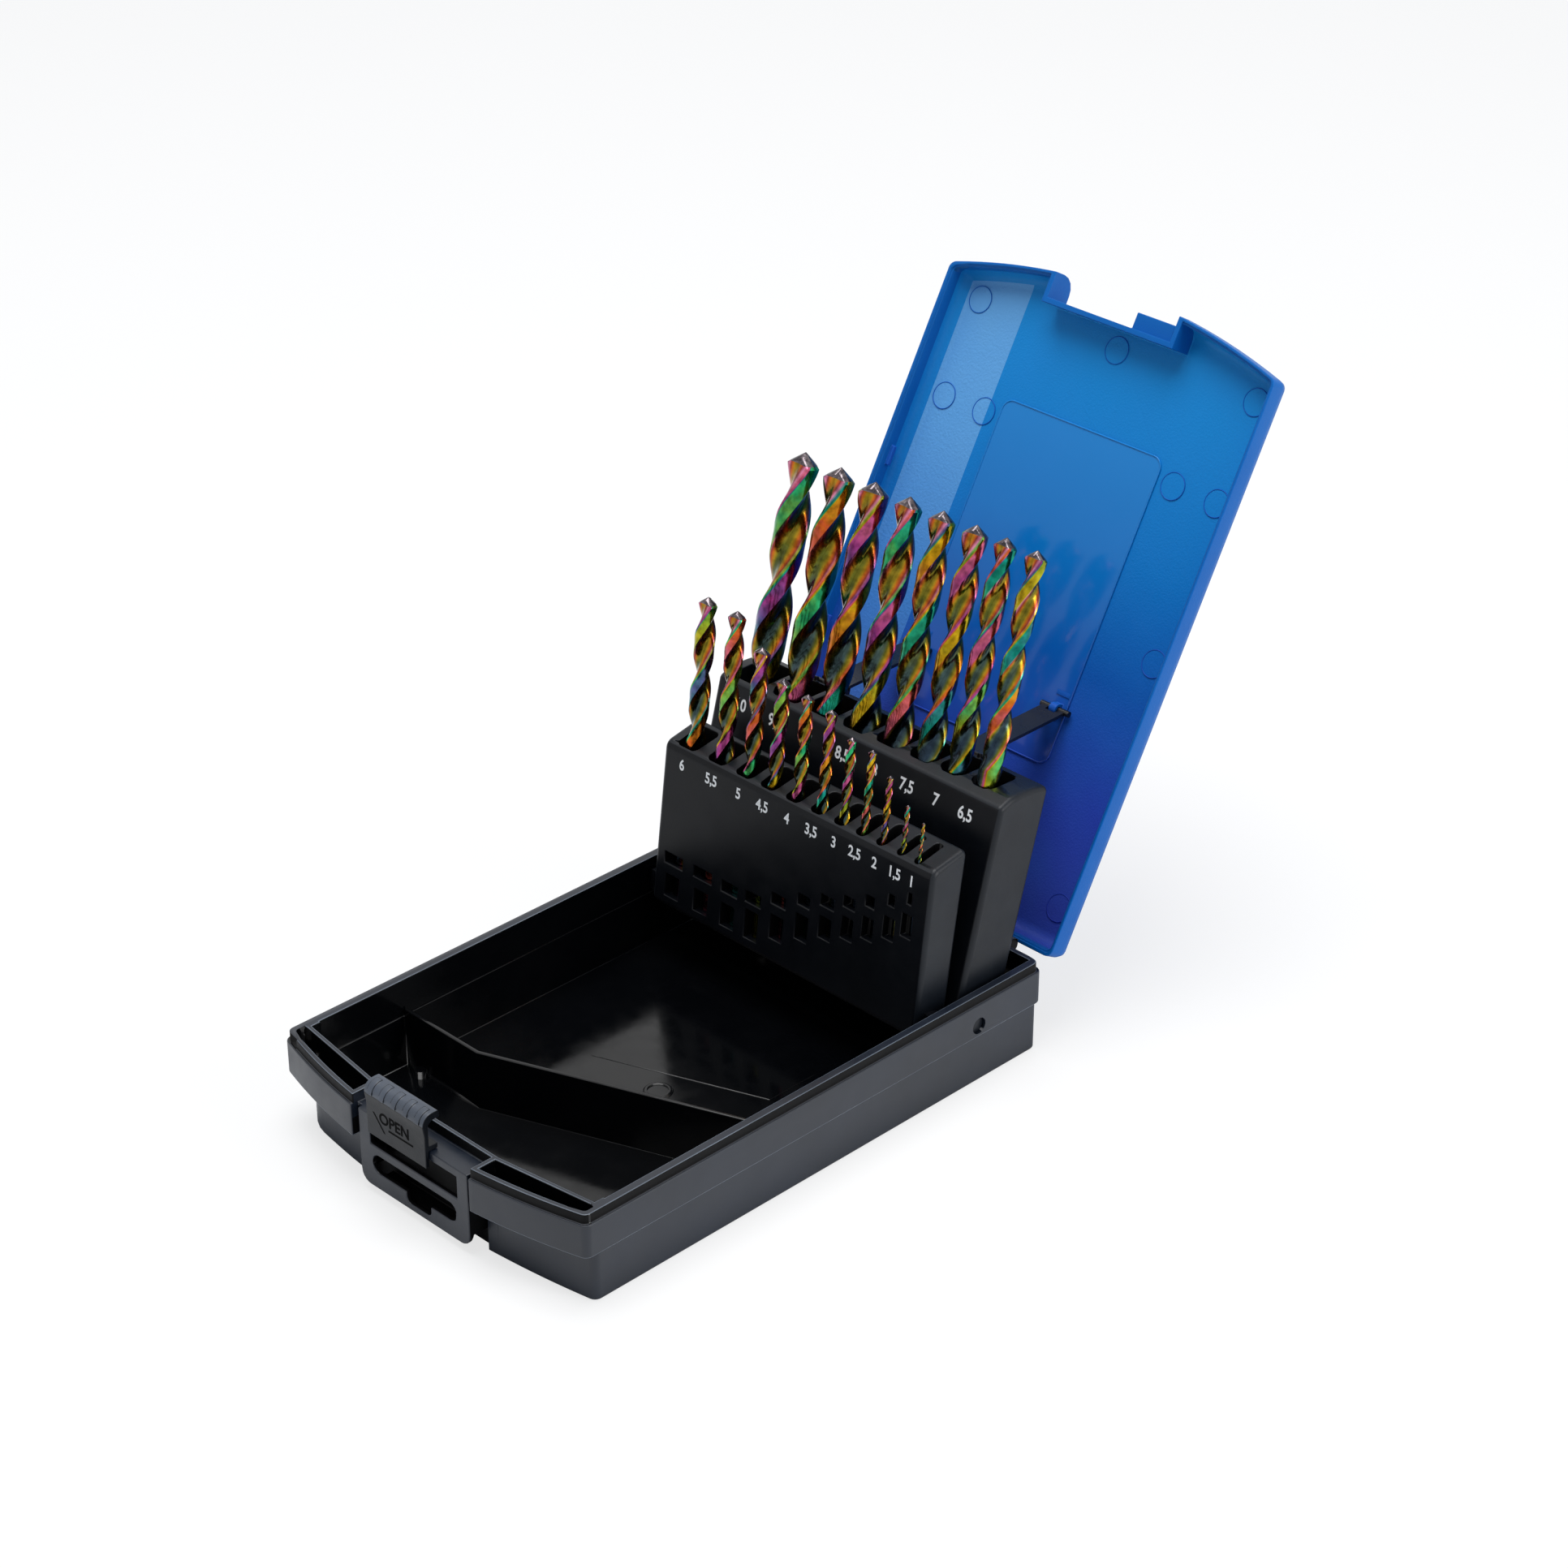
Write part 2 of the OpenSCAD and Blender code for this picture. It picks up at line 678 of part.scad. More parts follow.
// a block drawn along x from a section, its side edges rounded over;
// sections are given from the full one to the one drawn in by rack_round
module soft_ends(half, sections) {
  steps = len(sections) - 1;
  hull()
    for (s = [-1, 1], i = [0:steps])
      let (x = half - rack_round * (1 - sin(90 * i / steps)))
        along_x(s > 0 ? x - eps : -x, s > 0 ? x : -x + eps, sections[i]);
}

// how far each section in turn is drawn in
draw_in = [for (i = [0:4]) rack_round * (1 - cos(90 * i / 4))];

front_bottom = -3;
front_back_low = 5.4;
front_back_top = 4;
// rounding of the racks' long edges, and of the front rack's top front edge
edge_round = 2;
brow_round = 3;

function front_section(k) = concat(
  arc(-front_face + edge_round, front_bottom + edge_round, edge_round - k, 180, 270, 3),
  arc(-front_back_low - edge_round, front_bottom + edge_round, edge_round - k, 270, 360, 3),
  arc(-front_back_top - edge_round, front_top + front_rise - edge_round, edge_round - k,
    0, 74, 3),
  arc(-front_face + brow_round, front_top + 0.7 - brow_round, brow_round - k, 106, 180, 4));

module front_body() {
  soft_ends(front_width / 2, [for (k = draw_in) front_section(k)]);
}

module front_rack() {
  half = front_width / 2;
  ear_in = rear_width / 2 + body_gap;
  color(rack_colour) rack_pose(front_lean) {
    difference() {
      front_body();
      for (i = [0:len(front_drills) - 1]) {
        b = front_drills[i];
        d = b[0];
        y = front_axis(d);
        seat = front_top - b[4];
        x = b[3] * spread;
        w = d + front_slot_extra;
        // fitted bore down to the seat
        translate([x, y, seat])
          cylinder(d = d + 2 * pocket_clear, h = front_top + 20, $fn = 40);
        // wider mouth that reaches back
        translate([0, 0, front_top - 12 - 1.2 * d])
          linear_extrude(60)
            polygon(rounded(x - w / 2, -front_face + front_wall, x + w / 2,
              -front_back_wall, min(w / 2 - 0.1, 1.6), 4));
        // windows
        u = upper_windows[i];
        block([x - u[1] / 2, -front_face - 1, front_top - u[0] - upper_window_height / 2],
          [x + u[1] / 2, y, front_top - u[0] + upper_window_height / 2]);
        v = lower_windows[i];
        block([x - v[2] / 2, -front_face - 1, front_top - v[1]],
          [x + v[2] / 2, y, front_top - v[0]]);
      }
    }
    // side ears that ride on the rear rack's stub axles
    ear_front = 3 - front_face;
    ear_low = -1.6;
    for (s = [-1, 1]) {
      x0 = s > 0 ? ear_in : -ear_in - ear_thick;
      difference() {
        union() {
          rod_x(x0, x0 + ear_thick, 0, 0, ear_radius);
          block([x0, ear_front, ear_low], [x0 + ear_thick, 0, ear_radius]);
          block([s > 0 ? half - 1 : -ear_in - eps, ear_front, ear_low],
            [s > 0 ? ear_in + eps : -half + 1, ear_front + 4.9, ear_radius]);
        }
        rod_x(x0 - 1, x0 + ear_thick + 1, 0, 0, axle_radius + axle_clear);
      }
    }
  }
}

rear_bottom = -4;
crown = 38;

// rise of the rear rack's top behind its front edge
rear_rise = 3.8;

function rear_section(k) = concat(
  arc(-rear_face + edge_round, rear_bottom + edge_round, edge_round - k, 180, 270, 3),
  arc(rear_low_back - brow_round, rear_bottom + brow_round, brow_round - k, 270, 360, 4),
  arc(rear_back - edge_round, rear_top + rear_rise - edge_round, edge_round - k, 0, 84, 3),
  arc(rear_back - edge_round - 0.5, rear_top + rear_rise - crown, crown - k, 93, 110, 5),
  arc(-rear_face + edge_round, rear_top - edge_round, edge_round - k, 114, 180, 3));

module rear_body() {
  soft_ends(rear_width / 2, [for (k = draw_in) rear_section(k)]);
}

// one cheek of a cradle, drawn about the middle of the bar that it holds
module cradle() {
  r = bar_radius + 0.2;
  out = r + 0.8;
  difference() {
    along_x(-0.6, 0.6, concat(
      [[-arm_rack_back + arm_groove - 1.2, 1.6], [-arm_rack_back + arm_groove - 1.2, -9],
        [-arm_rack_back + arm_groove + 0.4, -9], [out, -3]],
      [[out, 1.6]]));
    rod_x(-1, 1, 0, 0, r);
    along_x(-1, 1, [[-r, 0], [r, 0], [r + 0.5, 3], [-r - 0.6, 3]]);
  }
}

module rear_rack() {
  half = rear_width / 2;
  bar_room = arm_width / 2 + 3;
  color(rack_colour) rack_pose(rear_lean) {
    difference() {
      rear_body();
      for (b = rear_drills) {
        d = b[0];
        x = b[3] * spread;
        w = d + rear_slot_extra;
        translate([x, rear_line, rear_top - b[4]])
          cylinder(d = d + 2 * pocket_clear, h = rear_top + 20, $fn = 48);
        translate([0, 0, rear_top - 22])
          linear_extrude(60)
            polygon(rounded(x - w / 2, rear_line - d / 2 - 0.4, x + w / 2,
              arm_groove - 1.6, 2.6, 5));
      }
      // grooves that the arms lie in when the case is shut
      for (s = [-1, 1])
        block([s * arm_place - bar_room, arm_groove, 33],
          [s * arm_place + bar_room, rear_back + 5, rear_top + 20]);
    }
    // cradles for the arms' rack bars, open upwards
    for (s = [-1, 1], t = [-1, 1])
      translate([s * arm_place + t * (arm_width / 2 + 0.9), arm_rack_back, arm_rack_along])
        cradle();
    // stub axles in the base's side walls
    for (s = [-1, 1])
      rod_x(s > 0 ? half - 1 : -half_width + 1, s > 0 ? half_width - 1 : -half + 1,
        0, 0, axle_radius);
  }
}

// ---------------------------------------------------------------- link arms

lid_bar_shut = [arm_lid_along * -1, arm_lid_up];
lid_bar = [hinge_y + lid_bar_shut[0] * cos(lid_open) + lid_bar_shut[1] * sin(lid_open),
  hinge_z - lid_bar_shut[0] * sin(lid_open) + lid_bar_shut[1] * cos(lid_open)];
rack_bar = [
  pivot_y + arm_rack_along * sin(rear_lean) + arm_rack_back * cos(rear_lean),
  pivot_z + arm_rack_along * cos(rear_lean) - arm_rack_back * sin(rear_lean)];

module link_arm(side) {
  reach = norm(rack_bar - lid_bar);
  tilt = atan2(rack_bar[1] - lid_bar[1], rack_bar[0] - lid_bar[0]);
  x = side * arm_place;
  // the bar at the lid shows past the arm's sides, the one at the rack lies in its cradles
  lid_bar_half = arm_width / 2 + 1.2;
  rack_bar_half = arm_width / 2 + 1.8;
  hole_half = hook_half + 0.6;
  hole_far = bar_radius + bar_clear + hook_skin + 0.9;
  color(rack_colour)
    translate([x, lid_bar[0], lid_bar[1]])
      rotate([tilt, 0, 0]) {
        difference() {
          block([-arm_width / 2, 0, -arm_thick / 2], [arm_width / 2, reach, arm_thick / 2]);
          // hole for the lid's hook
          block([-hole_half, -eps, -arm_thick], [hole_half, hole_far, arm_thick]);
        }
        rod_x(-lid_bar_half, lid_bar_half, 0, 0, bar_radius);
        rod_x(-rack_bar_half, rack_bar_half, reach, 0, bar_radius);
      }
}

module link_arm_left() {
  link_arm(-1);
}

module link_arm_right() {
  link_arm(1);
}

// ---------------------------------------------------------------- drills

// cross section of a two-flute twist drill
function flute_section(d) =
  let (r = d / 2, shape = [[0, 1], [22, 1], [44, 0.97], [62, 0.72], [84, core_share],
    [110, core_share + 0.12], [138, 0.76], [160, 0.97]])
  [for (half = [0, 180], p = shape)
    [r * p[1] * cos(p[0] + half), r * p[1] * sin(p[0] + half)]];

module drill(d, length, flutes) {
  tip = d / 2 / tan(point_angle / 2);
  lead = 5.67 * d;
  body = flutes - tip;
  turn = -360 * body / lead;
  // the fluted part is a touch thinner than the shank, so it starts inside it
  land = d * 0.985;
  sink = d * 0.02;
  color(steel_colour) {
    cylinder(d1 = d * 0.9, d2 = d, h = d * 0.05, $fn = 32);
    translate([0, 0, d * 0.05])
      cylinder(d = d, h = length - flutes - d * 0.05, $fn = 32);
    translate([0, 0, length - flutes - sink])
      linear_extrude(body + sink, twist = turn, slices = 20) polygon(flute_section(land));
    translate([0, 0, length - tip - sink])
      rotate([0, 0, -turn])
        linear_extrude(tip + sink, twist = -360 * tip / lead, slices = 2, scale = 0.04)
          polygon(flute_section(land * 0.98));
  }
}

module front_drill(i) {
  b = front_drills[i];
  rack_pose(front_lean)
    translate([b[3] * spread, front_axis(b[0]), front_top - b[4] + seat_gap])
      drill(b[0], b[1], b[2]);
}

module rear_drill(i) {
  b = rear_drills[i];
  rack_pose(rear_lean)
    translate([b[3] * spread, rear_line, rear_top - b[4] + seat_gap])
      drill(b[0], b[1], b[2]);
}

module drill_10() { rear_drill(0); }
module drill_9_5() { rear_drill(1); }
module drill_9() { rear_drill(2); }
module drill_8_5() { rear_drill(3); }
module drill_8() { rear_drill(4); }
module drill_7_5() { rear_drill(5); }
module drill_7() { rear_drill(6); }
module drill_6_5() { rear_drill(7); }
module drill_6() { front_drill(0); }
module drill_5_5() { front_drill(1); }
module drill_5() { front_drill(2); }
module drill_4_5() { front_drill(3); }
module drill_4() { front_drill(4); }
module drill_3_5() { front_drill(5); }
module drill_3() { front_drill(6); }
module drill_2_5() { front_drill(7); }
module drill_2() { front_drill(8); }
module drill_1_5() { front_drill(9); }
module drill_1() { front_drill(10); }

base();
lid();
latch();
front_rack();
rear_rack();
link_arm_left();
link_arm_right();
drill_10();
drill_9_5();
drill_9();
drill_8_5();
drill_8();
drill_7_5();
drill_7();
drill_6_5();
drill_6();
drill_5_5();
drill_5();
drill_4_5();
drill_4();
drill_3_5();
drill_3();
drill_2_5();
drill_2();
drill_1_5();
drill_1();
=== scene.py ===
# Drill bit case, open, with its racks raised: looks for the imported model.
import math

import bmesh
import bpy
from mathutils import Matrix, Vector


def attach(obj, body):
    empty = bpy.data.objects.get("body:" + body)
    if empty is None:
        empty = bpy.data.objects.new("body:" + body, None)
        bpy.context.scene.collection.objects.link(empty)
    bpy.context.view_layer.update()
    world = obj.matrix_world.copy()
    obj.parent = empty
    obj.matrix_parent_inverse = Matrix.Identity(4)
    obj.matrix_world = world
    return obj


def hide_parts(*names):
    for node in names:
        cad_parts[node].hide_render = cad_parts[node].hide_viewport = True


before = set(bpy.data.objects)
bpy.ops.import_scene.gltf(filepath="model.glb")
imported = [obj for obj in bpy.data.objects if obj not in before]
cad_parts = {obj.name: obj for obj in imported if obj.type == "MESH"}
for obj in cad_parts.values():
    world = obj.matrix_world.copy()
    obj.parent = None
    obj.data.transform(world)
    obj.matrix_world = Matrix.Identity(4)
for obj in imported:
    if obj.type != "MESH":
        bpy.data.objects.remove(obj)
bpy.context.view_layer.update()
scene = bpy.context.scene
MM = 0.001

# ------------------------------------------------------------------ sizes, in millimetres

# shared with the solids
HINGE, LID_OPEN = (86.9, 28.0), 119.6
PIVOT = (59.9, 19.4)
FRONT_LEAN, REAR_LEAN = 7.25, 15.0
FRONT_FACE, REAR_FACE = 17.5, 3.75
FRONT_TOP, REAR_TOP = 48.2, 63.4
FRONT_SKIN, REAR_LINE = 1.9, 3.3
SEAT_GAP = 0.05

# the base: its rim, its band, the bow of its front, its tray and the trough before the tray
HALF_WIDTH, BOW = 60.8, 8.8
RIM_TOP, RIM_FOOT, BAND_BOTTOM = 28.9, 26.1, 15.9
TRAY, TRAY_FLOOR, TRAY_TOP = ((-57.5, -80.5), (57.5, 83.6)), 0.9, 28.75
TROUGH_SIDE, TROUGH_FRONT, TROUGH_LIP = 25, -84.0, 1
# half the width of the latch's recess, the back of its guide plate and its own back wall,
# then the height below which its back wall gets painted shade
RECESS = (23.8, -92.0, -84.9)
RECESS_DARK = 21.5

# left edge, front and lower edge of the latch's face, then the foot and back of its roll
LATCH_FACE = (-16.5, -93.7, 21.0)
ROLL_FOOT, ROLL_BACK = 31.5, -88

# the lid, shut: inner faces of its walls, its ceiling, and where its coarse side strip with its
# painted sheen ends
LID_WALL, HINGE_END = 59.4, 84.4
CEILING_FOOT, CEILING = 34, 37
STRIP_END = -34.9
# half the label panel's width, its ends before the hinge, its corners and its face
PANEL = (30, (48.8, 141.5), 3.5, 37.3)
PANEL_BEAD = 0.28
# rows, reach across, height and half length of the tabs on the lid's walls
TAB_ROWS, TAB_ACROSS, TAB_HEIGHT, TAB_HALF = (26.9, -26.6), (57.5, 59.15), (31.6, 33.3), 3.1
# the lid's moulding marks: their middles, their face, their radius and their rims
MARKS = [(-51.8, -78.5), (1, -78.5), (51.8, -78.5), (-51.8, -48.6), (-36, -48.6), (36, -48.6),
         (51.8, -48.6), (51.8, -0.8), (-51.8, 73), (51.8, 73)]
MARK_FACE, MARK_RADIUS, MARK_RIM = 37.4, 4.0, 0.14

# how far behind a rack's front face the painted shade starts, how far out its ends start, and how
# far down its top edge reaches
POCKET_SKIN, RACK_END, RACK_STEP = 0.6, 50, 1

# how far the edges are rounded
BASE_ROUND, LATCH_ROUND, LID_ROUND, RACK_ROUND, ARM_ROUND = 0.35, 0.25, 0.3, 0.35, 0.15

# diameter, length, flute length, x, seat depth below the top front edge
FRONT_DRILLS = [
    (6, 93, 57, -45, 47.5), (5.5, 93, 57, -33, 47.5), (5, 86, 52, -22, 47.5),
    (4.5, 80, 47, -12.4, 47.4), (4, 75, 43, -2.6, 43.5), (3.5, 70, 39, 6.9, 39.5),
    (3, 61, 33, 15.7, 35.4), (2.5, 57, 30, 23.8, 32), (2, 49, 24, 31.3, 28.8),
    (1.5, 40, 18, 38.9, 25.5), (1, 34, 12, 45.3, 22.2)]
REAR_DRILLS = [
    (10, 133, 87, -44.6, 64.2), (9.5, 125, 81, -30.5, 56.2), (9, 125, 81, -17, 56.2),
    (8.5, 117, 75, -3.7, 48.2), (8, 117, 75, 8.9, 48.2), (7.5, 109, 69, 21.3, 40.2),
    (7, 109, 69, 32.3, 40.2), (6.5, 101, 63, 43.4, 32.2)]
# how far the flutes climb in a turn, in diameters
LEAD = 5.67
# the bearing that the flute at a tip faces, how much neighbours differ, and a flute's middle
# as a share of a turn
TIP_FACES, TIP_VARIES, FLUTE_MIDDLE = -65, 9, 0.3
# the temper film's place in the rainbow on a row's first drill, and the step to the next
FRONT_FILM, REAR_FILM, FILM_STEP = 0.3, 0.2, 0.31


def label(diameter):
    """A drill's diameter as the names of its node and body have it."""
    return f"{diameter:g}".replace(".", "_")


def rack_frame(lean):
    """x, back from the axis and up the rack, in mm, to the row frame in metres."""
    turn = Matrix.Rotation(math.radians(-lean), 4, "X")
    place = Matrix.Translation((0, PIVOT[0] * MM, PIVOT[1] * MM))
    return place @ turn @ Matrix.Scale(MM, 4)


def lid_frame():
    """The shut lid's place, in mm, to the open lid's in metres."""
    middle = Vector((0, HINGE[0], HINGE[1]))
    turn = Matrix.Rotation(math.radians(-LID_OPEN), 4, "X")
    return Matrix.Scale(MM, 4) @ Matrix.Translation(middle) @ turn @ Matrix.Translation(-middle)


# ------------------------------------------------------------------ nodes

MATH, MAP_RANGE = "ShaderNodeMath", "ShaderNodeMapRange"
NOISE, RAMP = "ShaderNodeTexNoise", "ShaderNodeValToRGB"
# sockets of a colour mix
MIX_SHARE, MIX_FIRST, MIX_SECOND, MIXED = 0, 6, 7, 2


def linear(hexcode):
    """An sRGB hex colour as linear values."""
    out = []
    for i in (1, 3, 5):
        c = int(hexcode[i:i + 2], 16) / 255
        out.append(c / 12.92 if c <= 0.04045 else ((c + 0.055) / 1.055) ** 2.4)
    return (*out, 1.0)


def add(tree, kind, inputs=None, stops=(), **settings):
    """Adds a node with its settings; a socket, or a node's first output, is linked to an input,
    and a value is set on it."""
    n = tree.nodes.new(kind)
    for key, value in settings.items():
        setattr(n, key, value)
    for key, value in (inputs or {}).items():
        if isinstance(value, bpy.types.Node):
            value = value.outputs[0]
        if isinstance(value, bpy.types.NodeSocket):
            tree.links.new(value, n.inputs[key])
        else:
            n.inputs[key].default_value = value
    if stops:
        band = n.color_ramp
        while len(band.elements) < len(stops):
            band.elements.new(0.5)
        for element, (at, colour) in zip(band.elements, stops):
            element.position = at
            element.color = linear(colour)
    return n


def scale_for(size_mm):
    """A pattern's scale from its real size."""
    return 1 / (size_mm * MM)


def new_material(name):
    """A material with an empty node tree, and that tree."""
    m = bpy.data.materials.new(name)
    m.use_nodes = True
    m.node_tree.nodes.clear()
    return m, m.node_tree


# ------------------------------------------------------------------ materials

def moulded_plastic(name, dark, light, rough, grain_mm, grain_height, level=0.5):
    """Injection-moulded plastic: slight mottling of colour and gloss, spark-eroded grain."""
    cloud_mm, patch_mm, patch_gloss, grain_deep = 22.22, 6.25, 0.05, 0.1
    m, tree = new_material(name)
    place = add(tree, "ShaderNodeTexCoord").outputs["Object"]
    cloud = add(tree, NOISE, {"Vector": place, "Scale": scale_for(cloud_mm), "Detail": 3.0})
    tint = add(tree, RAMP, {"Fac": cloud}, stops=[(0.3, dark), (0.7, light)])
    # handling marks, a few millimetres across, show as patches of duller gloss
    worn = add(tree, NOISE, {"Vector": place, "Scale": scale_for(patch_mm), "Detail": 5.0})
    gloss_map = add(tree, MAP_RANGE, {
        "Value": worn, "From Min": 0.3, "From Max": 0.7,
        "To Min": rough - patch_gloss, "To Max": rough + patch_gloss})
    grain = add(tree, NOISE, {"Vector": place, "Scale": scale_for(grain_mm), "Detail": 2.0})
    bump = add(tree, "ShaderNodeBump", {
        "Height": grain, "Strength": grain_height, "Distance": grain_deep * MM})
    shader = add(tree, "ShaderNodeBsdfPrincipled", {
        "Base Color": tint, "Roughness": gloss_map, "Normal": bump, "IOR": 1.49,
        "Specular IOR Level": level})
    add(tree, "ShaderNodeOutputMaterial", {"Surface": shader})
    return m


# polypropylene with a satin mould finish: slate where it faces the light
case_plastic = moulded_plastic("polypropylene_satin", "#0b121d", "#121a27", rough=0.36,
                               grain_mm=0.5, grain_height=0.10)
# inside, the mould was polished, with clear reflections; its near black is painted shade in the
# tray's hollow
tray_shaded_plastic = moulded_plastic("polypropylene_polished_painted_shade", "#030406", "#060709", rough=0.13,
                               grain_mm=1.5, grain_height=0.03, level=0.38)
# painted highlights: pale strips on the rounded edges of the rim and the band, where they catch
# the light
edge_highlight_plastic = moulded_plastic("polypropylene_painted_edge_highlight", "#454d58", "#5e6772", rough=0.3,
                                 grain_mm=0.5, grain_height=0.05)
# the racks are the same plastic from a duller mould
rack_plastic = moulded_plastic("polypropylene_rack", "#05070b", "#0a0c11", rough=0.34,
                               grain_mm=0.5, grain_height=0.14, level=0.16)
# painted light: their ends and top steps, which face the lamps, are painted greyer, and they are
# duller
lit_ends_and_tops_plastic = moulded_plastic("polypropylene_rack_painted_light", "#0a0e14", "#11161d", rough=0.4,
                                  grain_mm=0.5, grain_height=0.12, level=0.26)
# painted shade: in pockets, in the latch's recess and on the rim's recessed outer face the
# plastic is painted black and dull
painted_shade_plastic = moulded_plastic("polypropylene_painted_shade", "#020203", "#050506", rough=0.5,
                                 grain_mm=0.5, grain_height=0.1, level=0.12)
# the latch came out of the mould a little coarser
latch_plastic = moulded_plastic("polypropylene_latch", "#080b10", "#0e1218", rough=0.38,
                                grain_mm=0.7, grain_height=0.2, level=0.25)
# painted highlight: the top of the roll, facing up and forward, is painted pale
roll_highlight_plastic = moulded_plastic("polypropylene_roll_painted_highlight", "#333a45", "#464e5b", rough=0.4,
                                  grain_mm=0.7, grain_height=0.2)
# the arms are smooth and black
arm_plastic = moulded_plastic("polypropylene_arm", "#08090a", "#0c0d0f", rough=0.3,
                              grain_mm=0.6, grain_height=0.1)
# painted shade: the engraving's shade is drawn as black, dull marks
engraving_shade_plastic = moulded_plastic("polypropylene_painted_engraving_shade", "#010101", "#030303", rough=0.7,
                                   grain_mm=0.4, grain_height=0.2, level=0.05)


def lid_plastic(name, stops, rough, grain_mm, grain_height, level=0.12):
    """Blue ABS, a little see-through; its colour is painted deeper towards the hinge end, as
    painted shade where the open lid is shaded.
    """
    # the heights over which the painted shade on the open lid fades to the lit colour
    shaded, lit = 30, 180
    flow_mm, flow_most, grain_deep = 20, 0.12, 0.2
    m, tree = new_material(name)
    place = add(tree, "ShaderNodeTexCoord").outputs["Object"]
    rise = add(tree, MAP_RANGE, {
        "Value": add(tree, "ShaderNodeSeparateXYZ", {"Vector": place}).outputs["Z"],
        "From Min": shaded * MM, "From Max": lit * MM, "To Min": 0.0, "To Max": 1.0})
    tint = add(tree, RAMP, {"Fac": rise}, stops=stops)
    # faint flow clouding from the mould
    flow = add(tree, NOISE, {"Vector": place, "Scale": scale_for(flow_mm), "Detail": 2.0})
    soft = add(tree, MAP_RANGE, {"Value": flow, "From Min": 0.35, "From Max": 0.75,
                                 "To Min": 0.0, "To Max": flow_most})
    paler = add(tree, "ShaderNodeMix", {
        MIX_SHARE: soft, MIX_FIRST: tint, MIX_SECOND: linear("#2a7ccc")}, data_type="RGBA")
    grain = add(tree, NOISE, {"Vector": place, "Scale": scale_for(grain_mm), "Detail": 2.0})
    bump = add(tree, "ShaderNodeBump", {
        "Height": grain, "Strength": grain_height, "Distance": grain_deep * MM})
    shader = add(tree, "ShaderNodeBsdfPrincipled", {
        "Base Color": paler.outputs[MIXED], "Roughness": rough, "Normal": bump, "IOR": 1.52,
        "Specular IOR Level": level})
    add(tree, "ShaderNodeOutputMaterial", {"Surface": shader})
    return m


# outside, walls and rim: one nearly even blue, with a slight painted shade towards the hinge
lid_outside = lid_plastic("abs_blue_moulded", [(0.0, "#0454a2"), (1.0, "#0a5ca8")],
                          rough=0.36, grain_mm=0.55, grain_height=0.2)
# painted shade: inside, the blue is painted much deeper towards the hinge end
INSIDE_SHADE = [(0.0, "#3446aa"), (0.2, "#2b44b0"), (0.4, "#0a52a8"), (0.6, "#0a70bc"), (1.0, "#1886ca")]
# inside, spark-eroded to a fine sparkle
lid_grained = lid_plastic("abs_blue_grained", INSIDE_SHADE, rough=0.36, grain_mm=0.6, grain_height=0.5)
# the side strip inside is grained coarser, and painted paler as a sheen
lid_coarse_sheen = lid_plastic("abs_blue_coarse_painted_sheen", [
    (0.0, "#3a4cb0"), (0.4, "#3f7cc4"), (0.7, "#5a9ad4"), (1.0, "#66a4d8")],
    rough=0.42, grain_mm=0.8, grain_height=0.9)
# the label panel was polished in the mould
lid_polished = lid_plastic("abs_blue_polished", INSIDE_SHADE, rough=0.07, grain_mm=3.0,
                           grain_height=0.01, level=0.2)
# tabs and the rims of moulding marks stand in their own shade
lid_shaded = lid_plastic("abs_blue_shaded", [(0.0, "#2234a0"), (1.0, "#0a5cb0")],
                         rough=0.4, grain_mm=0.6, grain_height=0.3)


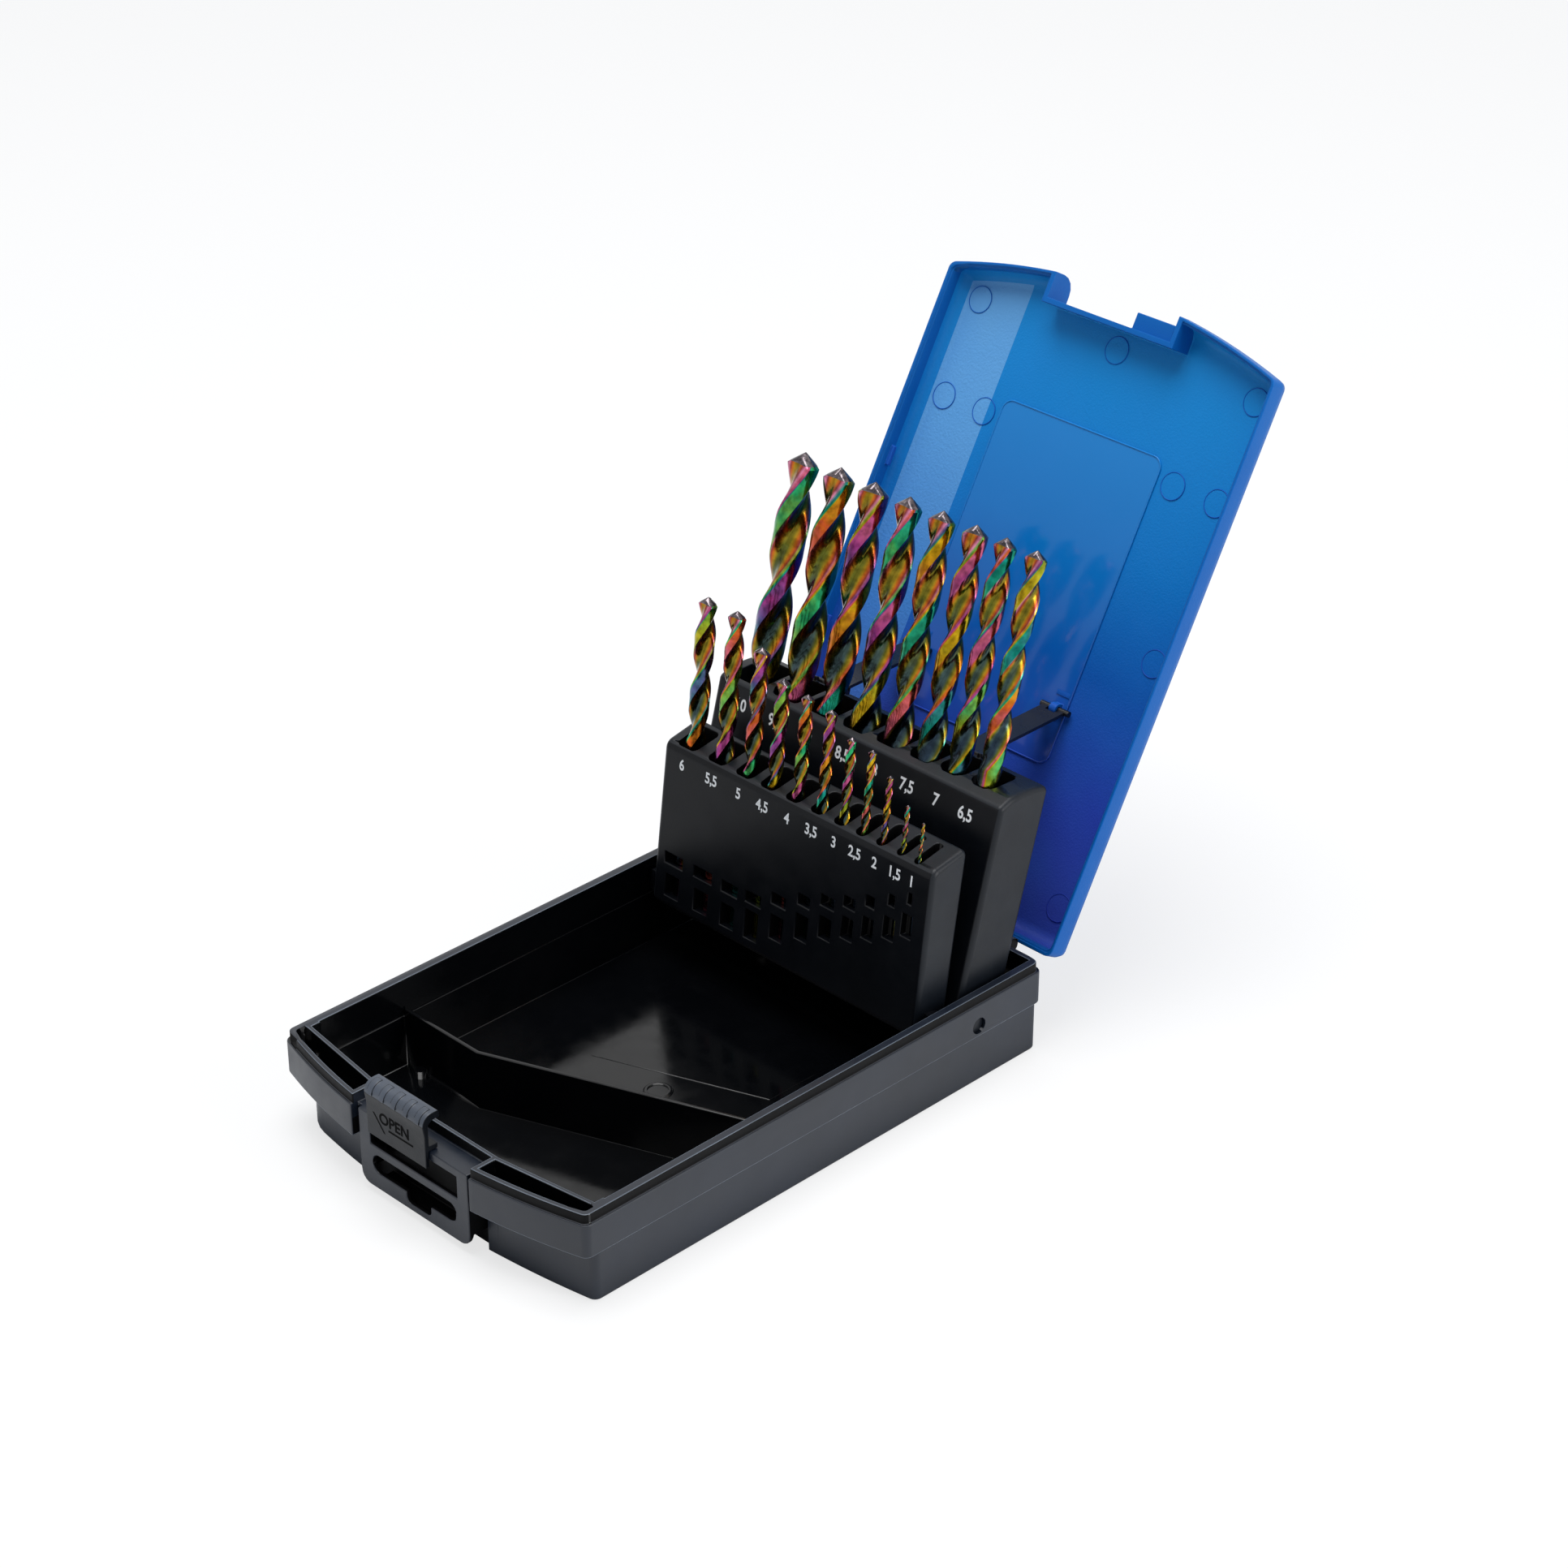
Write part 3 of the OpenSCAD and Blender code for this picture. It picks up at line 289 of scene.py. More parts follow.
def temper_steel():
    """Ground high-speed steel with a thin temper skin: rainbow bands that follow the flutes."""
    # grinding lines are drawn five times coarser than real ones so that they show
    cloud_mm, streak_mm, line_mm = 9.091, 2.381, 0.7143
    # how far clouds push the bands; the land's colours end in the first sixth of the depth
    drift_most, land_ends = 0.35, 6.0
    # what depth and climb add to a flute's place in its colours, and where its edge starts
    by_depth, by_climb, at_edge = 0.55, -0.6, 0.28
    m, tree = new_material("high_speed_steel_temper_skin")
    place = add(tree, "ShaderNodeTexCoord").outputs["Object"]
    # film holds the land's place in the rainbow, the flute's depth and the height up the flutes
    film = add(tree, "ShaderNodeSeparateXYZ", {"Vector": add(
        tree, "ShaderNodeAttribute", attribute_name="film").outputs["Vector"]}).outputs
    cloud = add(tree, NOISE, {"Vector": place, "Scale": scale_for(cloud_mm), "Detail": 3.0})
    drift = add(tree, MATH, {0: cloud, 1: drift_most}, operation="MULTIPLY")
    round_film = add(tree, MATH, {0: film["X"], 1: drift}, operation="ADD")
    land = add(tree, RAMP, {"Fac": add(tree, MATH, {0: round_film}, operation="FRACT")}, stops=[
        (0.0, "#b4566e"), (0.13, "#8c3472"), (0.22, "#4a4474"), (0.34, "#148070"),
        (0.47, "#2c9656"), (0.58, "#749026"), (0.73, "#b48a14"), (0.87, "#b04e20"),
        (1.0, "#b4566e")])
    # deep in a flute the film is slate, painted darker there as shade in the hollow; it turns
    # gold and red at the edges and the point
    depth = add(tree, MATH, {0: film["Y"], 1: by_depth, 2: drift}, operation="MULTIPLY_ADD")
    depth = add(tree, MATH, {0: depth, 1: at_edge}, operation="ADD")
    depth = add(tree, MATH, {0: film["Z"], 1: by_climb, 2: depth}, operation="MULTIPLY_ADD")
    flute = add(tree, RAMP, {"Fac": depth}, stops=[
        (0.0, "#b8708c"), (0.17, "#7c302c"), (0.31, "#a4541c"), (0.45, "#8e701c"),
        (0.6, "#56581e"), (0.76, "#384844"), (0.95, "#26323e")])
    in_flute = add(tree, MATH, {0: film["Y"], 1: land_ends}, operation="MULTIPLY")
    skin = add(tree, "ShaderNodeMix", {
        MIX_SHARE: in_flute, MIX_FIRST: land, MIX_SECOND: flute}, data_type="RGBA")
    # painted shade: the shank, down in its pocket, is painted darker
    shade = add(tree, "ShaderNodeAttribute", attribute_name="shade").outputs["Fac"]
    streak = add(tree, NOISE, {"Vector": place, "Scale": scale_for(streak_mm), "Detail": 2.0})
    uneven = add(tree, MAP_RANGE, {"Value": streak, "From Min": 0.35, "From Max": 0.65,
                                   "To Min": 0.7, "To Max": 1.35})
    shade = add(tree, MATH, {0: shade, 1: uneven}, operation="MULTIPLY")
    tone = add(tree, "ShaderNodeVectorMath", {0: skin.outputs[MIXED], "Scale": shade},
               operation="SCALE")
    lines = add(tree, NOISE, {"Vector": place, "Scale": scale_for(line_mm), "Detail": 2.0})
    gloss = add(tree, MAP_RANGE, {"Value": lines, "From Min": 0.3, "From Max": 0.7,
                                  "To Min": 0.14, "To Max": 0.26})
    shader = add(tree, "ShaderNodeBsdfPrincipled", {
        "Base Color": tone, "Roughness": gloss, "Metallic": 1.0})
    add(tree, "ShaderNodeOutputMaterial", {"Surface": shader})
    return m


def ground_steel():
    """Facets of a drill's point, ground last: grey under a faint film, with fine lines."""
    line_mm = 1.4286
    m, tree = new_material("high_speed_steel_ground")
    place = add(tree, "ShaderNodeTexCoord").outputs["Object"]
    lines = add(tree, NOISE, {"Vector": place, "Scale": scale_for(line_mm), "Detail": 2.0})
    tint = add(tree, RAMP, {"Fac": lines},
               stops=[(0.3, "#343438"), (0.5, "#5a5256"), (0.7, "#7c7476")])
    shader = add(tree, "ShaderNodeBsdfPrincipled", {
        "Base Color": tint, "Metallic": 1.0, "Roughness": 0.22})
    add(tree, "ShaderNodeOutputMaterial", {"Surface": shader})
    return m


def print_ink():
    """Matt white pad-printed ink, slightly uneven."""
    cloud_mm = 1.25
    m, tree = new_material("pad_print_white")
    place = add(tree, "ShaderNodeTexCoord").outputs["Object"]
    cloud = add(tree, NOISE, {"Vector": place, "Scale": scale_for(cloud_mm)})
    tint = add(tree, RAMP, {"Fac": cloud}, stops=[(0.3, "#dfe2e4"), (0.7, "#f6f7f8")])
    shader = add(tree, "ShaderNodeBsdfPrincipled", {"Base Color": tint, "Roughness": 0.6})
    add(tree, "ShaderNodeOutputMaterial", {"Surface": shader})
    return m


drill_skin = temper_steel()
drill_point = ground_steel()
white_ink = print_ink()


# ------------------------------------------------------------------ making pieces

def finish_mesh(name, mesh, materials, body, replaced=()):
    """Makes a mesh, already in its place, a piece that rides on a body."""
    piece = bpy.data.objects.new(name, mesh)
    scene.collection.objects.link(piece)
    for m in materials:
        mesh.materials.append(m)
    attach(piece, body)
    if replaced:
        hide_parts(*replaced)
    return piece


def evaluated_mesh(holder):
    """A plain mesh of an object with its modifiers applied."""
    bpy.context.view_layer.update()
    return bpy.data.meshes.new_from_object(
        holder.evaluated_get(bpy.context.evaluated_depsgraph_get()))


def plain_mesh(name, data, tree=None, inputs=()):
    """What a curve, a text or a node tree on a mesh turns into."""
    holder = bpy.data.objects.new("holder", data)
    scene.collection.objects.link(holder)
    if tree:
        grown = holder.modifiers.new("grown", "NODES")
        grown.node_group = tree
        for identifier, value in inputs:
            grown[identifier] = value
    mesh = evaluated_mesh(holder)
    holder.modifiers.clear()
    bpy.data.objects.remove(holder)
    mesh.name = name
    return mesh


def merged_solid(node, cut):
    """A solid's loose triangles joined into whole flat faces, parted at a plane."""
    weld, sliver, flat_angle = 0.015 * MM, 0.01 * MM, math.radians(0.6)
    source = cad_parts[node]
    bm = bmesh.new()
    bm.from_mesh(source.data)
    bm.transform(source.matrix_world)
    # slivers go first, or they would leave no room for the rounding
    bmesh.ops.remove_doubles(bm, verts=bm.verts, dist=weld)
    bmesh.ops.dissolve_degenerate(bm, edges=bm.edges, dist=sliver)
    bmesh.ops.dissolve_limit(bm, angle_limit=flat_angle, verts=bm.verts, edges=bm.edges,
                             delimit={"NORMAL"})
    if cut is not None:
        bmesh.ops.bisect_plane(bm, geom=bm.verts[:] + bm.edges[:] + bm.faces[:],
                               plane_co=Vector(cut) * MM, plane_no=cut)
    return bm


def mark_hard_edges(bm, room):
    """Marks for rounding each hard edge that is longer than the room it needs, as are its
    neighbours."""
    hard_bend = math.radians(28)
    weight = bm.edges.layers.float.new("bevel_weight_edge")

    def bends(e):
        return len(e.link_faces) == 2 and e.calc_face_angle() > hard_bend

    for e in bm.edges:
        others = [f for v in e.verts for f in v.link_edges if f != e]
        if bends(e) and e.calc_length() > room and all(f.calc_length() > room for f in others):
            e[weight] = 1.0


def rounded_copy(node, width, cut=None):
    """A solid's mesh with its hard edges rounded."""
    room_share, crease = 1.3, math.radians(50)
    bm = merged_solid(node, cut)
    mark_hard_edges(bm, room_share * width * MM)
    mesh = bpy.data.meshes.new(node + "_rounded")
    bm.to_mesh(mesh)
    bm.free()
    mesh.polygons.foreach_set("use_smooth", [True] * len(mesh.polygons))
    helper = bpy.data.objects.new("helper", mesh)
    scene.collection.objects.link(helper)
    bevel = helper.modifiers.new("round", "BEVEL")
    bevel.width = width * MM
    bevel.segments = 2
    bevel.limit_method = "WEIGHT"
    bevel.use_clamp_overlap = False
    helper.data = made = evaluated_mesh(helper)
    helper.modifiers.clear()
    made.set_sharp_from_angle(angle=crease)
    # broad faces stay flat, and only the narrow rounded strips between them shade over
    flat = helper.modifiers.new("flat", "WEIGHTED_NORMAL")
    flat.keep_sharp = True
    made = evaluated_mesh(helper)
    made.name = node + "_finished"
    bpy.data.objects.remove(helper)
    return made


def paint(piece, slot, place, test):
    """Gives a material slot to the faces whose middle and normal pass the test."""
    turn = place.to_3x3().normalized()
    for f in piece.data.polygons:
        if test(place @ f.center, turn @ f.normal):
            f.material_index = slot


# ------------------------------------------------------------------ base and latch

# by the z of its normal, a face stands upright below the first, lies level above the second,
# and is turned up or down above the third
UPRIGHT, LEVEL, TURNED = 0.7, 0.98, 0.15
# a rounded strip reaches this far from its edge
BASE_STRIP = BASE_ROUND + 0.01
to_mm = Matrix.Scale(1 / MM, 4)

# parted where the light stops reaching the recess's back wall
case = finish_mesh("case_base", rounded_copy("base", BASE_ROUND, cut=(0, 0, RECESS_DARK)),
                   [case_plastic, tray_shaded_plastic, painted_shade_plastic, edge_highlight_plastic],
                   "base", ["base"])
(x0, y0), (x1, y1) = TRAY


def in_trough(p):
    """Between the bowed outer wall and the tray's front wall."""
    bow = BOW * (1 - (p.x / HALF_WIDTH) ** 2)
    return (abs(p.x) > TROUGH_SIDE and TROUGH_FRONT - bow < p.y < y0 + TROUGH_LIP
            and p.z > BAND_BOTTOM + TROUGH_LIP)


def in_tray(p):
    return x0 < p.x < x1 and y0 < p.y < y1 or in_trough(p)


def in_recess(p, n):
    """Behind the latch's guide plate and beside it."""
    return abs(p.x) < RECESS[0] and RECESS[1] < p.y < RECESS[2] and p.z < RECESS_DARK


def on_rim_edge(p, n):
    return p.z > RIM_TOP - BASE_STRIP and UPRIGHT < n.z < LEVEL


def on_band_edge(p, n):
    return (abs(p.z - BAND_BOTTOM) < BASE_STRIP and -LEVEL < n.z < -TURNED
            and not in_tray(p))


# painted shade on the rim's outer face, and painted highlights on the rounded edges of the rim
# and the band
paint(case, 2, to_mm, lambda p, n: RIM_FOOT < p.z < RIM_TOP and abs(n.z) < UPRIGHT)
# painted shade: the tray and the trough inside get the near-black polished plastic
paint(case, 1, to_mm, lambda p, n: TRAY_FLOOR < p.z < TRAY_TOP and in_tray(p))
# painted shade in the latch's recess, below where the light reaches its back wall
paint(case, 2, to_mm, in_recess)
# painted highlights on the rim's top edges and the band's lower edge
paint(case, 3, to_mm, lambda p, n: on_rim_edge(p, n) or on_band_edge(p, n))

latch = finish_mesh("case_latch", rounded_copy("latch", LATCH_ROUND),
                    [latch_plastic, roll_highlight_plastic], "latch", ["latch"])


def on_roll(p, n):
    """The top of the roll, not its ends or its back."""
    faces_back, faces_down, faces_aside = n.y > 0.3, n.z < 0.05, abs(n.x) > 0.5
    return (p.z > ROLL_FOOT and p.y < ROLL_BACK
            and not (faces_back or faces_down or faces_aside))


# painted highlight on the top of the roll
paint(latch, 1, to_mm, on_roll)

# ------------------------------------------------------------------ lid

lid = finish_mesh("case_lid", rounded_copy("lid", LID_ROUND, cut=(STRIP_END, 0, 0)),
                  [lid_outside, lid_grained, lid_coarse_sheen, lid_polished, lid_shaded],
                  "lid", ["lid"])
shut = lid_frame().inverted()
panel_half, panel_ends, panel_corner, panel_face = PANEL
panel_near, panel_far = (HINGE[0] - end for end in panel_ends)


def lies_flat(n):
    """Faces the tray when the lid is shut."""
    return n.z < -0.95


def on_inside(p, n):
    """The ceiling with its rounded edges, between the walls."""
    faces_in = n.z < -0.1
    return p.z > CEILING_FOOT and faces_in and abs(p.x) < LID_WALL and p.y < HINGE_END


def on_side_strip(p, n):
    return p.z > CEILING and lies_flat(n) and p.x < STRIP_END


def on_panel(p, n):
    """A little past the panel's edge all round."""
    past = 0.1
    return (lies_flat(n) and p.z > panel_face - past and abs(p.x) < panel_half + past
            and panel_far - past < p.y < panel_near + past)


def on_tab(p, n):
    return (TAB_ACROSS[0] < abs(p.x) < TAB_ACROSS[1] and TAB_HEIGHT[0] < p.z < TAB_HEIGHT[1]
            and min(abs(p.y - row) for row in TAB_ROWS) < TAB_HALF)


# the ceiling inside, its side strip, then the label panel and the tabs
paint(lid, 1, shut, on_inside)
paint(lid, 2, shut, on_side_strip)
paint(lid, 3, shut, on_panel)
paint(lid, 4, shut, on_tab)


def mark_rim_tree():
    """A thin raised ring round each point of the mesh that it is given."""
    tree = bpy.data.node_groups.new("moulding_mark_rims", "GeometryNodeTree")
    sizes = {}
    for name, kind in (("Places", "NodeSocketGeometry"), ("Radius", "NodeSocketFloat"),
                       ("Rim", "NodeSocketFloat")):
        sizes[name] = tree.interface.new_socket(name, in_out="INPUT", socket_type=kind).identifier
    tree.interface.new_socket("Geometry", in_out="OUTPUT", socket_type="NodeSocketGeometry")
    given = add(tree, "NodeGroupInput").outputs
    ring = add(tree, "GeometryNodeCurvePrimitiveCircle", {
        "Resolution": 40, "Radius": given["Radius"]})
    section = add(tree, "GeometryNodeCurvePrimitiveCircle", {
        "Resolution": 8, "Radius": given["Rim"]})
    rim = add(tree, "GeometryNodeCurveToMesh", {"Curve": ring, "Profile Curve": section})
    points = add(tree, "GeometryNodeMeshToPoints", {"Mesh": given["Places"]})
    laid = add(tree, "GeometryNodeInstanceOnPoints", {"Points": points, "Instance": rim})
    real = add(tree, "GeometryNodeRealizeInstances", {"Geometry": laid})
    coloured = add(tree, "GeometryNodeSetMaterial", {"Geometry": real, "Material": lid_shaded})
    add(tree, "NodeGroupOutput", {"Geometry": coloured})
    return tree, sizes


def ring_marks():
    """The rims that ejector pins left inside the lid."""
    tree, sizes = mark_rim_tree()
    places = bpy.data.meshes.new("mark_places")
    places.from_pydata([(x, y, MARK_FACE) for x, y in MARKS], [], [])
    mesh = plain_mesh("lid_mark_rims", places, tree, [
        (sizes["Radius"], MARK_RADIUS), (sizes["Rim"], MARK_RIM)])
    mesh.transform(lid_frame())
    finish_mesh("lid_mark_rims", mesh, [], "lid")


def edge_panel():
    """The bead round the label panel, which catches the light."""
    right, near = panel_half - panel_corner, panel_near - panel_corner
    far = panel_far + panel_corner
    path = []
    for turn, (x, y) in enumerate([(right, near), (-right, near), (-right, far), (right, far)]):
        for step in range(0, 91, 15):
            a = math.radians(90 * turn + step)
            path.append((x + panel_corner * math.cos(a), y + panel_corner * math.sin(a),
                         panel_face))
    curve = bpy.data.curves.new("panel_bead", "CURVE")
    curve.dimensions = "3D"
    curve.bevel_depth = PANEL_BEAD
    curve.bevel_resolution = 2
    line = curve.splines.new("POLY")
    line.points.add(len(path) - 1)
    line.points.foreach_set("co", [v for point in path for v in (*point, 1)])
    line.use_cyclic_u = True
    mesh = plain_mesh("lid_panel_bead", curve)
    mesh.transform(lid_frame())
    finish_mesh("lid_panel_bead", mesh, [lid_polished], "lid")


# ------------------------------------------------------------------ racks and arms

# parts of a normal: up to the first a wall still stands, and past the other it faces that way
WALL_TURN, HALF_TURN = 0.6, 0.5
front_rack = finish_mesh("rack_front", rounded_copy("front_rack", RACK_ROUND),
                         [rack_plastic, painted_shade_plastic, lit_ends_and_tops_plastic],
                         "front_rack", ["front_rack"])
rear_rack = finish_mesh("rack_rear", rounded_copy("rear_rack", RACK_ROUND),
                        [rack_plastic, painted_shade_plastic, lit_ends_and_tops_plastic],
                        "rear_rack", ["rear_rack"])
for rack, lean, face, top in ((front_rack, FRONT_LEAN, FRONT_FACE, FRONT_TOP),
                              (rear_rack, REAR_LEAN, REAR_FACE, REAR_TOP)):
    upright = rack_frame(lean).inverted()
    # painted shade inside pockets and windows; painted light on the ends and the top
    paint(rack, 1, upright, lambda p, n: p.y > POCKET_SKIN - face and abs(n.z) < WALL_TURN
          and abs(p.x) < RACK_END)
    paint(rack, 2, upright, lambda p, n: abs(n.x) > HALF_TURN and abs(p.x) > RACK_END
          or n.z > HALF_TURN and p.z > top - RACK_STEP)
for side in ("left", "right"):
    finish_mesh("arm_" + side, rounded_copy("link_arm_" + side, ARM_ROUND), [arm_plastic],
                "link_arm_" + side, ["link_arm_" + side])

ring_marks()
edge_panel()


# ------------------------------------------------------------------ twist drills

def twist_drill_tree():
    """A right-hand jobber drill standing on its shank, grown from a flat grid by its sizes."""
    tree = bpy.data.node_groups.new("twist_drill", "GeometryNodeTree")
    sizes = {}
    for name in ("Diameter", "Length", "Flutes", "Film Start"):
        sizes[name] = tree.interface.new_socket(
            name, in_out="INPUT", socket_type="NodeSocketFloat").identifier
    tree.interface.new_socket("Geometry", in_out="OUTPUT", socket_type="NodeSocketGeometry")
    given = add(tree, "NodeGroupInput").outputs
    d, length, flutes = given["Diameter"], given["Length"], given["Flutes"]
    # in diameters: the point's cone, the shank's chamfer, the flutes' run-out, the fade of the
    # shank's painted shade
    point_high, chamfer_high, run_out_long, fade_long = 0.32, 0.05, 0.9, 0.5
    # the rainbow's step from one land to the other, its run up the flutes, the shank's shade
    land_step, film_run, shank_shade = 0.45, -0.4, 0.22
    # the flute's section from its bottom to its margin
    bottom, margin = 0.5, 0.96
    weld, crease = 1e-5, 0.55

    around, rows, point_rows = 56, 118, 9
    last = float(rows - point_rows)
    grid = add(tree, "GeometryNodeMeshGrid", {
        "Size X": 1.0, "Size Y": 1.0, "Vertices X": around + 1, "Vertices Y": rows + 1})
    spot = add(tree, "ShaderNodeSeparateXYZ", {
        "Vector": add(tree, "GeometryNodeInputPosition")}).outputs
    share_round = add(tree, MATH, {0: spot["X"], 1: 0.5}, operation="ADD")
    row = add(tree, MATH, {0: spot["Y"], 1: 0.5}, operation="ADD")
    row = add(tree, MATH, {0: row, 1: float(rows)}, operation="MULTIPLY")

    # heights: the shank's chamfer, the shank, the flutes and the point
    radius = add(tree, MATH, {0: d, 1: 0.5}, operation="MULTIPLY")
    start = add(tree, MATH, {0: length, 1: flutes}, operation="SUBTRACT")
    tip = add(tree, MATH, {0: d, 1: point_high}, operation="MULTIPLY")
    chamfer = add(tree, MATH, {0: d, 1: chamfer_high}, operation="MULTIPLY")
    shank = add(tree, MATH, {0: start, 1: chamfer}, operation="SUBTRACT")
    fluted = add(tree, MATH, {0: flutes, 1: tip}, operation="SUBTRACT")
    height = 0.0
    for low, high, rise in ((1.0, 2.0, chamfer), (2.0, 3.0, shank), (3.0, last, fluted),
                            (last, float(rows), tip)):
        stretch = add(tree, MAP_RANGE, {"Value": row, "From Min": low, "From Max": high,
                                        "To Min": 0.0, "To Max": rise})
        height = add(tree, MATH, {0: height, 1: stretch}, operation="ADD")

    # section of the flutes over half a turn: land, margin, hollow, heel
    half_turn = add(tree, MATH, {0: share_round, 1: 2.0}, operation="MULTIPLY")
    half_turn = add(tree, MATH, {0: half_turn}, operation="FRACT")
    section = add(tree, "ShaderNodeFloatCurve", {"Value": half_turn})
    curve = section.mapping.curves[0]
    shape = [(0.0, 1.0), (0.03, 1.0), (0.045, 0.97), (0.29, 0.97), (0.33, 0.87),
             (0.39, 0.68), (0.47, 0.52), (0.57, 0.45), (0.67, 0.46), (0.76, 0.55),
             (0.84, 0.7), (0.91, 0.87), (0.955, 1.0), (1.0, 1.0)]
    while len(curve.points) < len(shape):
        curve.points.new(0.5, 0.5)
    for point, place in zip(curve.points, shape):
        point.location = place
        point.handle_type = "VECTOR"
    section.mapping.update()
    hollow = add(tree, MATH, {0: section, 1: 1.0}, operation="SUBTRACT")
    full = add(tree, MATH, {0: d, 1: run_out_long, 2: start}, operation="MULTIPLY_ADD")
    run_out = add(tree, MAP_RANGE, {"Value": height, "From Min": start, "From Max": full,
                                    "To Min": 0.0, "To Max": 1.0})
    share = add(tree, MATH, {0: hollow, 1: run_out, 2: 1.0}, operation="MULTIPLY_ADD")
    reach = add(tree, MATH, {0: radius, 1: share}, operation="MULTIPLY")
    # the shank's end closes over the first row and is chamfered over the second
    end = 0.9
    for low, narrow, wide in ((0.0, 0.0, end), (1.0, 1.0, 1 / end)):
        closing = add(tree, MAP_RANGE, {"Value": row, "From Min": low, "From Max": low + 1,
                                        "To Min": narrow, "To Max": wide})
        reach = add(tree, MATH, {0: reach, 1: closing}, operation="MULTIPLY")
    # the ground point: a 118 degree cone that falls away behind each lip
    slope, relief, lip = 0.6, 0.3, 0.42
    fall = add(tree, MATH, {0: half_turn, 1: lip}, operation="ADD")
    fall = add(tree, MATH, {0: fall}, operation="FRACT")
    fall = add(tree, MATH, {0: fall, 1: relief, 2: slope}, operation="MULTIPLY_ADD")
    cone = add(tree, MATH, {0: length, 1: height}, operation="SUBTRACT")
    cone = add(tree, MATH, {0: cone, 1: fall}, operation="DIVIDE")
    reach = add(tree, MATH, {0: reach, 1: cone}, operation="MINIMUM")

    above = add(tree, MATH, {0: height, 1: start}, operation="SUBTRACT")
    wound = add(tree, MATH, {0: above, 1: 0.0}, operation="MAXIMUM")
    wound = add(tree, MATH, {
        0: wound, 1: add(tree, MATH, {0: d, 1: LEAD}, operation="MULTIPLY")}, operation="DIVIDE")
    angle = add(tree, MATH, {0: share_round, 1: wound}, operation="ADD")
    angle = add(tree, MATH, {0: angle, 1: 2 * math.pi}, operation="MULTIPLY")
    along, across = (
        add(tree, MATH, {0: reach, 1: add(tree, MATH, {0: angle}, operation=wave)},
            operation="MULTIPLY") for wave in ("COSINE", "SINE"))
    place = add(tree, "ShaderNodeCombineXYZ", {"X": along, "Y": across, "Z": height})

    # what the temper colours follow: which land, how deep in a flute and how far up
    second = add(tree, MATH, {0: share_round, 1: 0.5}, operation="GREATER_THAN")
    second = add(tree, MATH, {0: second, 1: land_step, 2: given["Film Start"]},
                 operation="MULTIPLY_ADD")
    climb = add(tree, MATH, {0: above, 1: flutes}, operation="DIVIDE")
    film = add(tree, "ShaderNodeCombineXYZ", {
        "X": add(tree, MATH, {0: climb, 1: film_run, 2: second}, operation="MULTIPLY_ADD"),
        "Y": add(tree, MAP_RANGE, {"Value": section, "From Min": bottom, "From Max": margin,
                                   "To Min": 1.0, "To Max": 0.0}),
        "Z": climb})
    kept = add(tree, "GeometryNodeStoreNamedAttribute", {
        "Geometry": grid, "Name": "film", "Value": film}, data_type="FLOAT_VECTOR",
        domain="POINT")
    fade = add(tree, MATH, {0: d, 1: -fade_long, 2: start}, operation="MULTIPLY_ADD")
    shade = add(tree, MAP_RANGE, {"Value": height, "From Min": fade, "From Max": start,
                                  "To Min": shank_shade, "To Max": 1.0})
    kept = add(tree, "GeometryNodeStoreNamedAttribute", {
        "Geometry": kept, "Name": "shade", "Value": shade}, data_type="FLOAT", domain="POINT")
    ground = add(tree, "GeometryNodeStoreNamedAttribute", {
        "Geometry": kept, "Name": "ground",
        "Value": add(tree, MATH, {0: row, 1: last + 0.25}, operation="GREATER_THAN")},
        data_type="FLOAT", domain="FACE")

    wrapped = add(tree, "GeometryNodeSetPosition", {"Geometry": ground, "Position": place})
    closed = add(tree, "GeometryNodeMergeByDistance", {"Geometry": wrapped, "Distance": weld})
    smooth = add(tree, "GeometryNodeSetShadeSmooth", {"Geometry": closed})
    bend = add(tree, "GeometryNodeInputMeshEdgeAngle").outputs["Unsigned Angle"]
    crisp = add(tree, "GeometryNodeSetShadeSmooth", {
        "Geometry": smooth, "Shade Smooth": False,
        "Selection": add(tree, MATH, {0: bend, 1: crease}, operation="GREATER_THAN")},
        domain="EDGE")
    real = add(tree, "GeometryNodeRealizeInstances", {"Geometry": crisp})
    skin = add(tree, "GeometryNodeSetMaterial", {"Geometry": real, "Material": drill_skin})
    on_point = add(tree, "GeometryNodeInputNamedAttribute", {"Name": "ground"},
                   data_type="FLOAT").outputs["Attribute"]
    tipped = add(tree, "GeometryNodeSetMaterial", {
        "Geometry": skin, "Material": drill_point,
        "Selection": add(tree, MATH, {0: on_point, 1: 0.5}, operation="GREATER_THAN")})
    add(tree, "NodeGroupOutput", {"Geometry": tipped})
    return tree, sizes


drill_tree, drill_sizes = twist_drill_tree()


def stand_drills(drills, lean, line, top, film_start):
    """Grows a row's drills and stands each in its pocket."""
    for n, (diameter, length, flutes, x, seat) in enumerate(drills):
        name = "drill_" + label(diameter)
        mesh = plain_mesh(name + "_finished", bpy.data.meshes.new("seed"), drill_tree, [
            (drill_sizes["Diameter"], float(diameter)), (drill_sizes["Length"], float(length)),
            (drill_sizes["Flutes"], float(flutes)),
            (drill_sizes["Film Start"], film_start + FILM_STEP * n)])
        # each stands with a flute towards the case's front right corner at its tip
        wound = 360 * (FLUTE_MIDDLE + flutes / (LEAD * diameter))
        turn = Matrix.Rotation(math.radians(TIP_FACES - wound + TIP_VARIES * (n % 3 - 1)), 4, "Z")
        mesh.transform(rack_frame(lean) @ Matrix.Translation(
            (x, line(diameter), top - seat + SEAT_GAP)) @ turn)
        finish_mesh("twist_" + name, mesh, [], name, [name])


